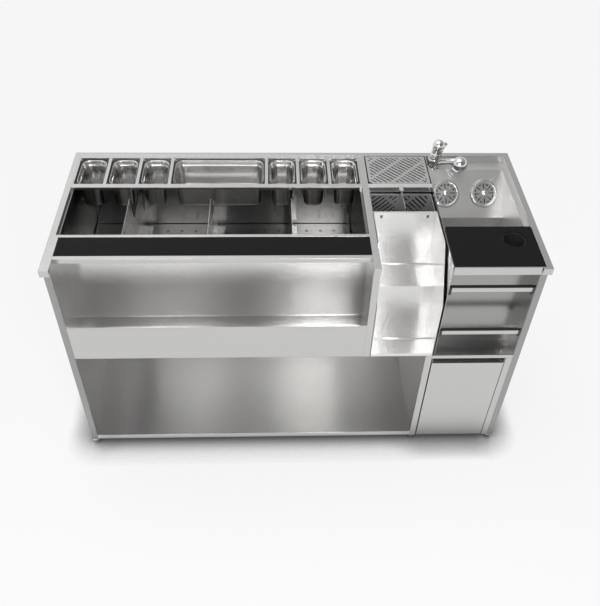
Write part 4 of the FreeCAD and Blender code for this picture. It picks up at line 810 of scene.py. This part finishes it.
class STATION_OT_stage(Operator):
    """Set the floor, the light and the camera"""

    bl_idname = "station.stage"
    bl_label = "Stage"

    def execute(self, context):
        self.floor()
        self.world()
        self.lamps()
        self.camera()
        context.scene.view_settings.view_transform = "Standard"
        return {"FINISHED"}

    def floor(self):
        bm = bmesh.new()
        bmesh.ops.create_grid(bm, x_segments=1, y_segments=1, size=FLOOR_SIZE)
        mesh = bpy.data.meshes.new("floor")
        bm.to_mesh(mesh)
        bm.free()
        floor = bpy.data.objects.new("floor", mesh)
        bpy.context.scene.collection.objects.link(floor)
        nodes = Nodes("Pale floor")
        nodes.shader.inputs["Base Color"].default_value = FLOOR_COLOUR
        nodes.shader.inputs["Roughness"].default_value = 0.9
        nodes.shader.inputs["Specular IOR Level"].default_value = 0.0
        # Painted shadow: the floor's glow is darkened by ambient occlusion near the object; only
        # the lit share of the floor carries a real shadow.
        near = nodes.add("ShaderNodeAmbientOcclusion", Distance=SHADOW_REACH)
        near.samples = 8
        darker = nodes.add("ShaderNodeMath", operation="POWER")
        nodes.join(near.outputs["AO"], darker.inputs[0])
        darker.inputs[1].default_value = SHADOW_POWER
        glow = nodes.add("ShaderNodeEmission", Color=PALE)
        nodes.join(darker.outputs["Value"], glow.inputs["Strength"])
        share = nodes.add("ShaderNodeMath", operation="MULTIPLY")
        share.inputs[1].default_value = GLOW_SHARE
        nodes.join(background_rays(nodes.tree), share.inputs[0])
        mix = nodes.add("ShaderNodeMixShader")
        nodes.join(share.outputs["Value"], mix.inputs["Fac"])
        nodes.join(nodes.shader.outputs["BSDF"], mix.inputs[1])
        nodes.join(glow.outputs["Emission"], mix.inputs[2])
        nodes.join(mix.outputs["Shader"], nodes.tree.nodes["Material Output"].inputs["Surface"])
        mesh.materials.append(nodes.material)

    def world(self):
        """A pale horizon below a softly lit ceiling, brighter on the left and to the rear."""
        world = bpy.data.worlds.new("Studio")
        bpy.context.scene.world = world
        world.use_nodes = True
        tree = world.node_tree
        back = tree.nodes["Background"]
        back.inputs["Strength"].default_value = 1.0
        place = tree.nodes.new("ShaderNodeTexCoord")
        parts = tree.nodes.new("ShaderNodeSeparateXYZ")
        tree.links.new(place.outputs["Generated"], parts.inputs["Vector"])

        def fade(axis, low, high, first, last):
            node = tree.nodes.new("ShaderNodeMapRange")
            node.interpolation_type = "SMOOTHSTEP"
            limits = {"From Min": low, "From Max": high, "To Min": first, "To Max": last}
            for name, value in limits.items():
                node.inputs[name].default_value = value
            tree.links.new(parts.outputs[axis], node.inputs["Value"])
            return node.outputs["Result"]

        ceiling = tree.nodes.new("ShaderNodeMath")
        ceiling.operation = "MULTIPLY"
        tree.links.new(fade("X", -0.6, 0.7, 1.0, 0.4), ceiling.inputs[0])
        tree.links.new(fade("Y", -0.5, 0.2, 0.45, 1.0), ceiling.inputs[1])
        mix = tree.nodes.new("ShaderNodeMix")
        mix.data_type = "RGBA"
        mix.inputs["A"].default_value = PALE
        tree.links.new(fade("Z", 0.15, 0.45, 0.0, 1.0), mix.inputs["Factor"])
        tree.links.new(ceiling.outputs["Value"], mix.inputs["B"])
        tree.links.new(mix.outputs["Result"], back.inputs["Color"])

    def lamps(self):
        sun = bpy.data.lights.new("ceiling", "SUN")
        sun.energy = 1.0
        sun.angle = math.radians(50)
        self.hang(bpy.data.objects.new("ceiling", sun), (-0.6, 0.5, 3), (0, 0, 0))
        self.box("left box", (-0.8, -2.05, 2.4), (0, 0, 0.5), (0.5, 1.2), 12)
        self.box("right box", (0.3, -2.05, 2.4), (0, 0, 0.5), (0.4, 1.2), 28)

    def box(self, name, place, aim, size, power):
        data = bpy.data.lights.new(name, "AREA")
        data.shape = "RECTANGLE"
        data.size, data.size_y = size
        data.energy = power
        self.hang(bpy.data.objects.new(name, data), place, aim)

    def hang(self, lamp, place, aim):
        lamp.location = place
        lamp.rotation_euler = (Vector(aim) - Vector(place)).to_track_quat("-Z", "Y").to_euler()
        bpy.context.scene.collection.objects.link(lamp)

    def camera(self):
        """A camera fitted to the rim and the panel feet, in a frame 606 pixels high."""
        place = Vector((-0.0794, -1.936, 2.3858))
        pitch, yaw, roll, focal_px, frame_px = 0.7857, 0.0521, 0.0307, 740.6, 606
        forward = Vector((math.sin(yaw) * math.cos(pitch), math.cos(yaw) * math.cos(pitch),
                          -math.sin(pitch)))
        level = Vector((math.cos(yaw), -math.sin(yaw), 0))
        above = level.cross(forward)
        right = math.cos(roll) * level + math.sin(roll) * above
        up = -math.sin(roll) * level + math.cos(roll) * above
        sensor_mm = 36
        data = bpy.data.cameras.new("camera")
        data.sensor_width = sensor_mm
        data.lens = focal_px * sensor_mm / frame_px
        camera = bpy.data.objects.new("camera", data)
        camera.matrix_world = Matrix((
            (right.x, up.x, -forward.x, place.x),
            (right.y, up.y, -forward.y, place.y),
            (right.z, up.z, -forward.z, place.z),
            (0, 0, 0, 1),
        ))
        bpy.context.scene.collection.objects.link(camera)
        bpy.context.scene.camera = camera


# ---------------------------------------------------------------- add-on
OPERATORS = (STATION_OT_dress_frame, STATION_OT_garnish_pans, STATION_OT_tap, STATION_OT_strainers,
             STATION_OT_bar_ends, STATION_OT_divider_trims, STATION_OT_screws, STATION_OT_stage)


class STATION_PT_panel(Panel):
    """Lists the station's sizes, colours and operators"""

    bl_label = "Bar Station"
    bl_idname = "STATION_PT_panel"
    bl_space_type = "VIEW_3D"
    bl_region_type = "UI"
    bl_category = "Bar Station"

    def draw(self, context):
        for group in (context.scene.station_sizes, context.scene.station_finish):
            for key in group.__annotations__:
                self.layout.prop(group, key)
        for operator in OPERATORS:
            self.layout.operator(operator.bl_idname)


CLASSES = (StationFinish, StationSizes, *OPERATORS, STATION_PT_panel)


def register():
    for cls in CLASSES:
        bpy.utils.register_class(cls)
    bpy.types.Scene.station_finish = PointerProperty(type=StationFinish)
    bpy.types.Scene.station_sizes = PointerProperty(type=StationSizes)


def unregister():
    del bpy.types.Scene.station_sizes
    del bpy.types.Scene.station_finish
    for cls in reversed(CLASSES):
        bpy.utils.unregister_class(cls)


def main():
    register()
    bpy.ops.station.dress_frame()
    bpy.ops.station.garnish_pans()
    bpy.ops.station.tap()
    bpy.ops.station.strainers()
    bpy.ops.station.bar_ends()
    bpy.ops.station.divider_trims()
    bpy.ops.station.screws()
    bpy.ops.station.stage()


if __name__ == "__main__":
    main()
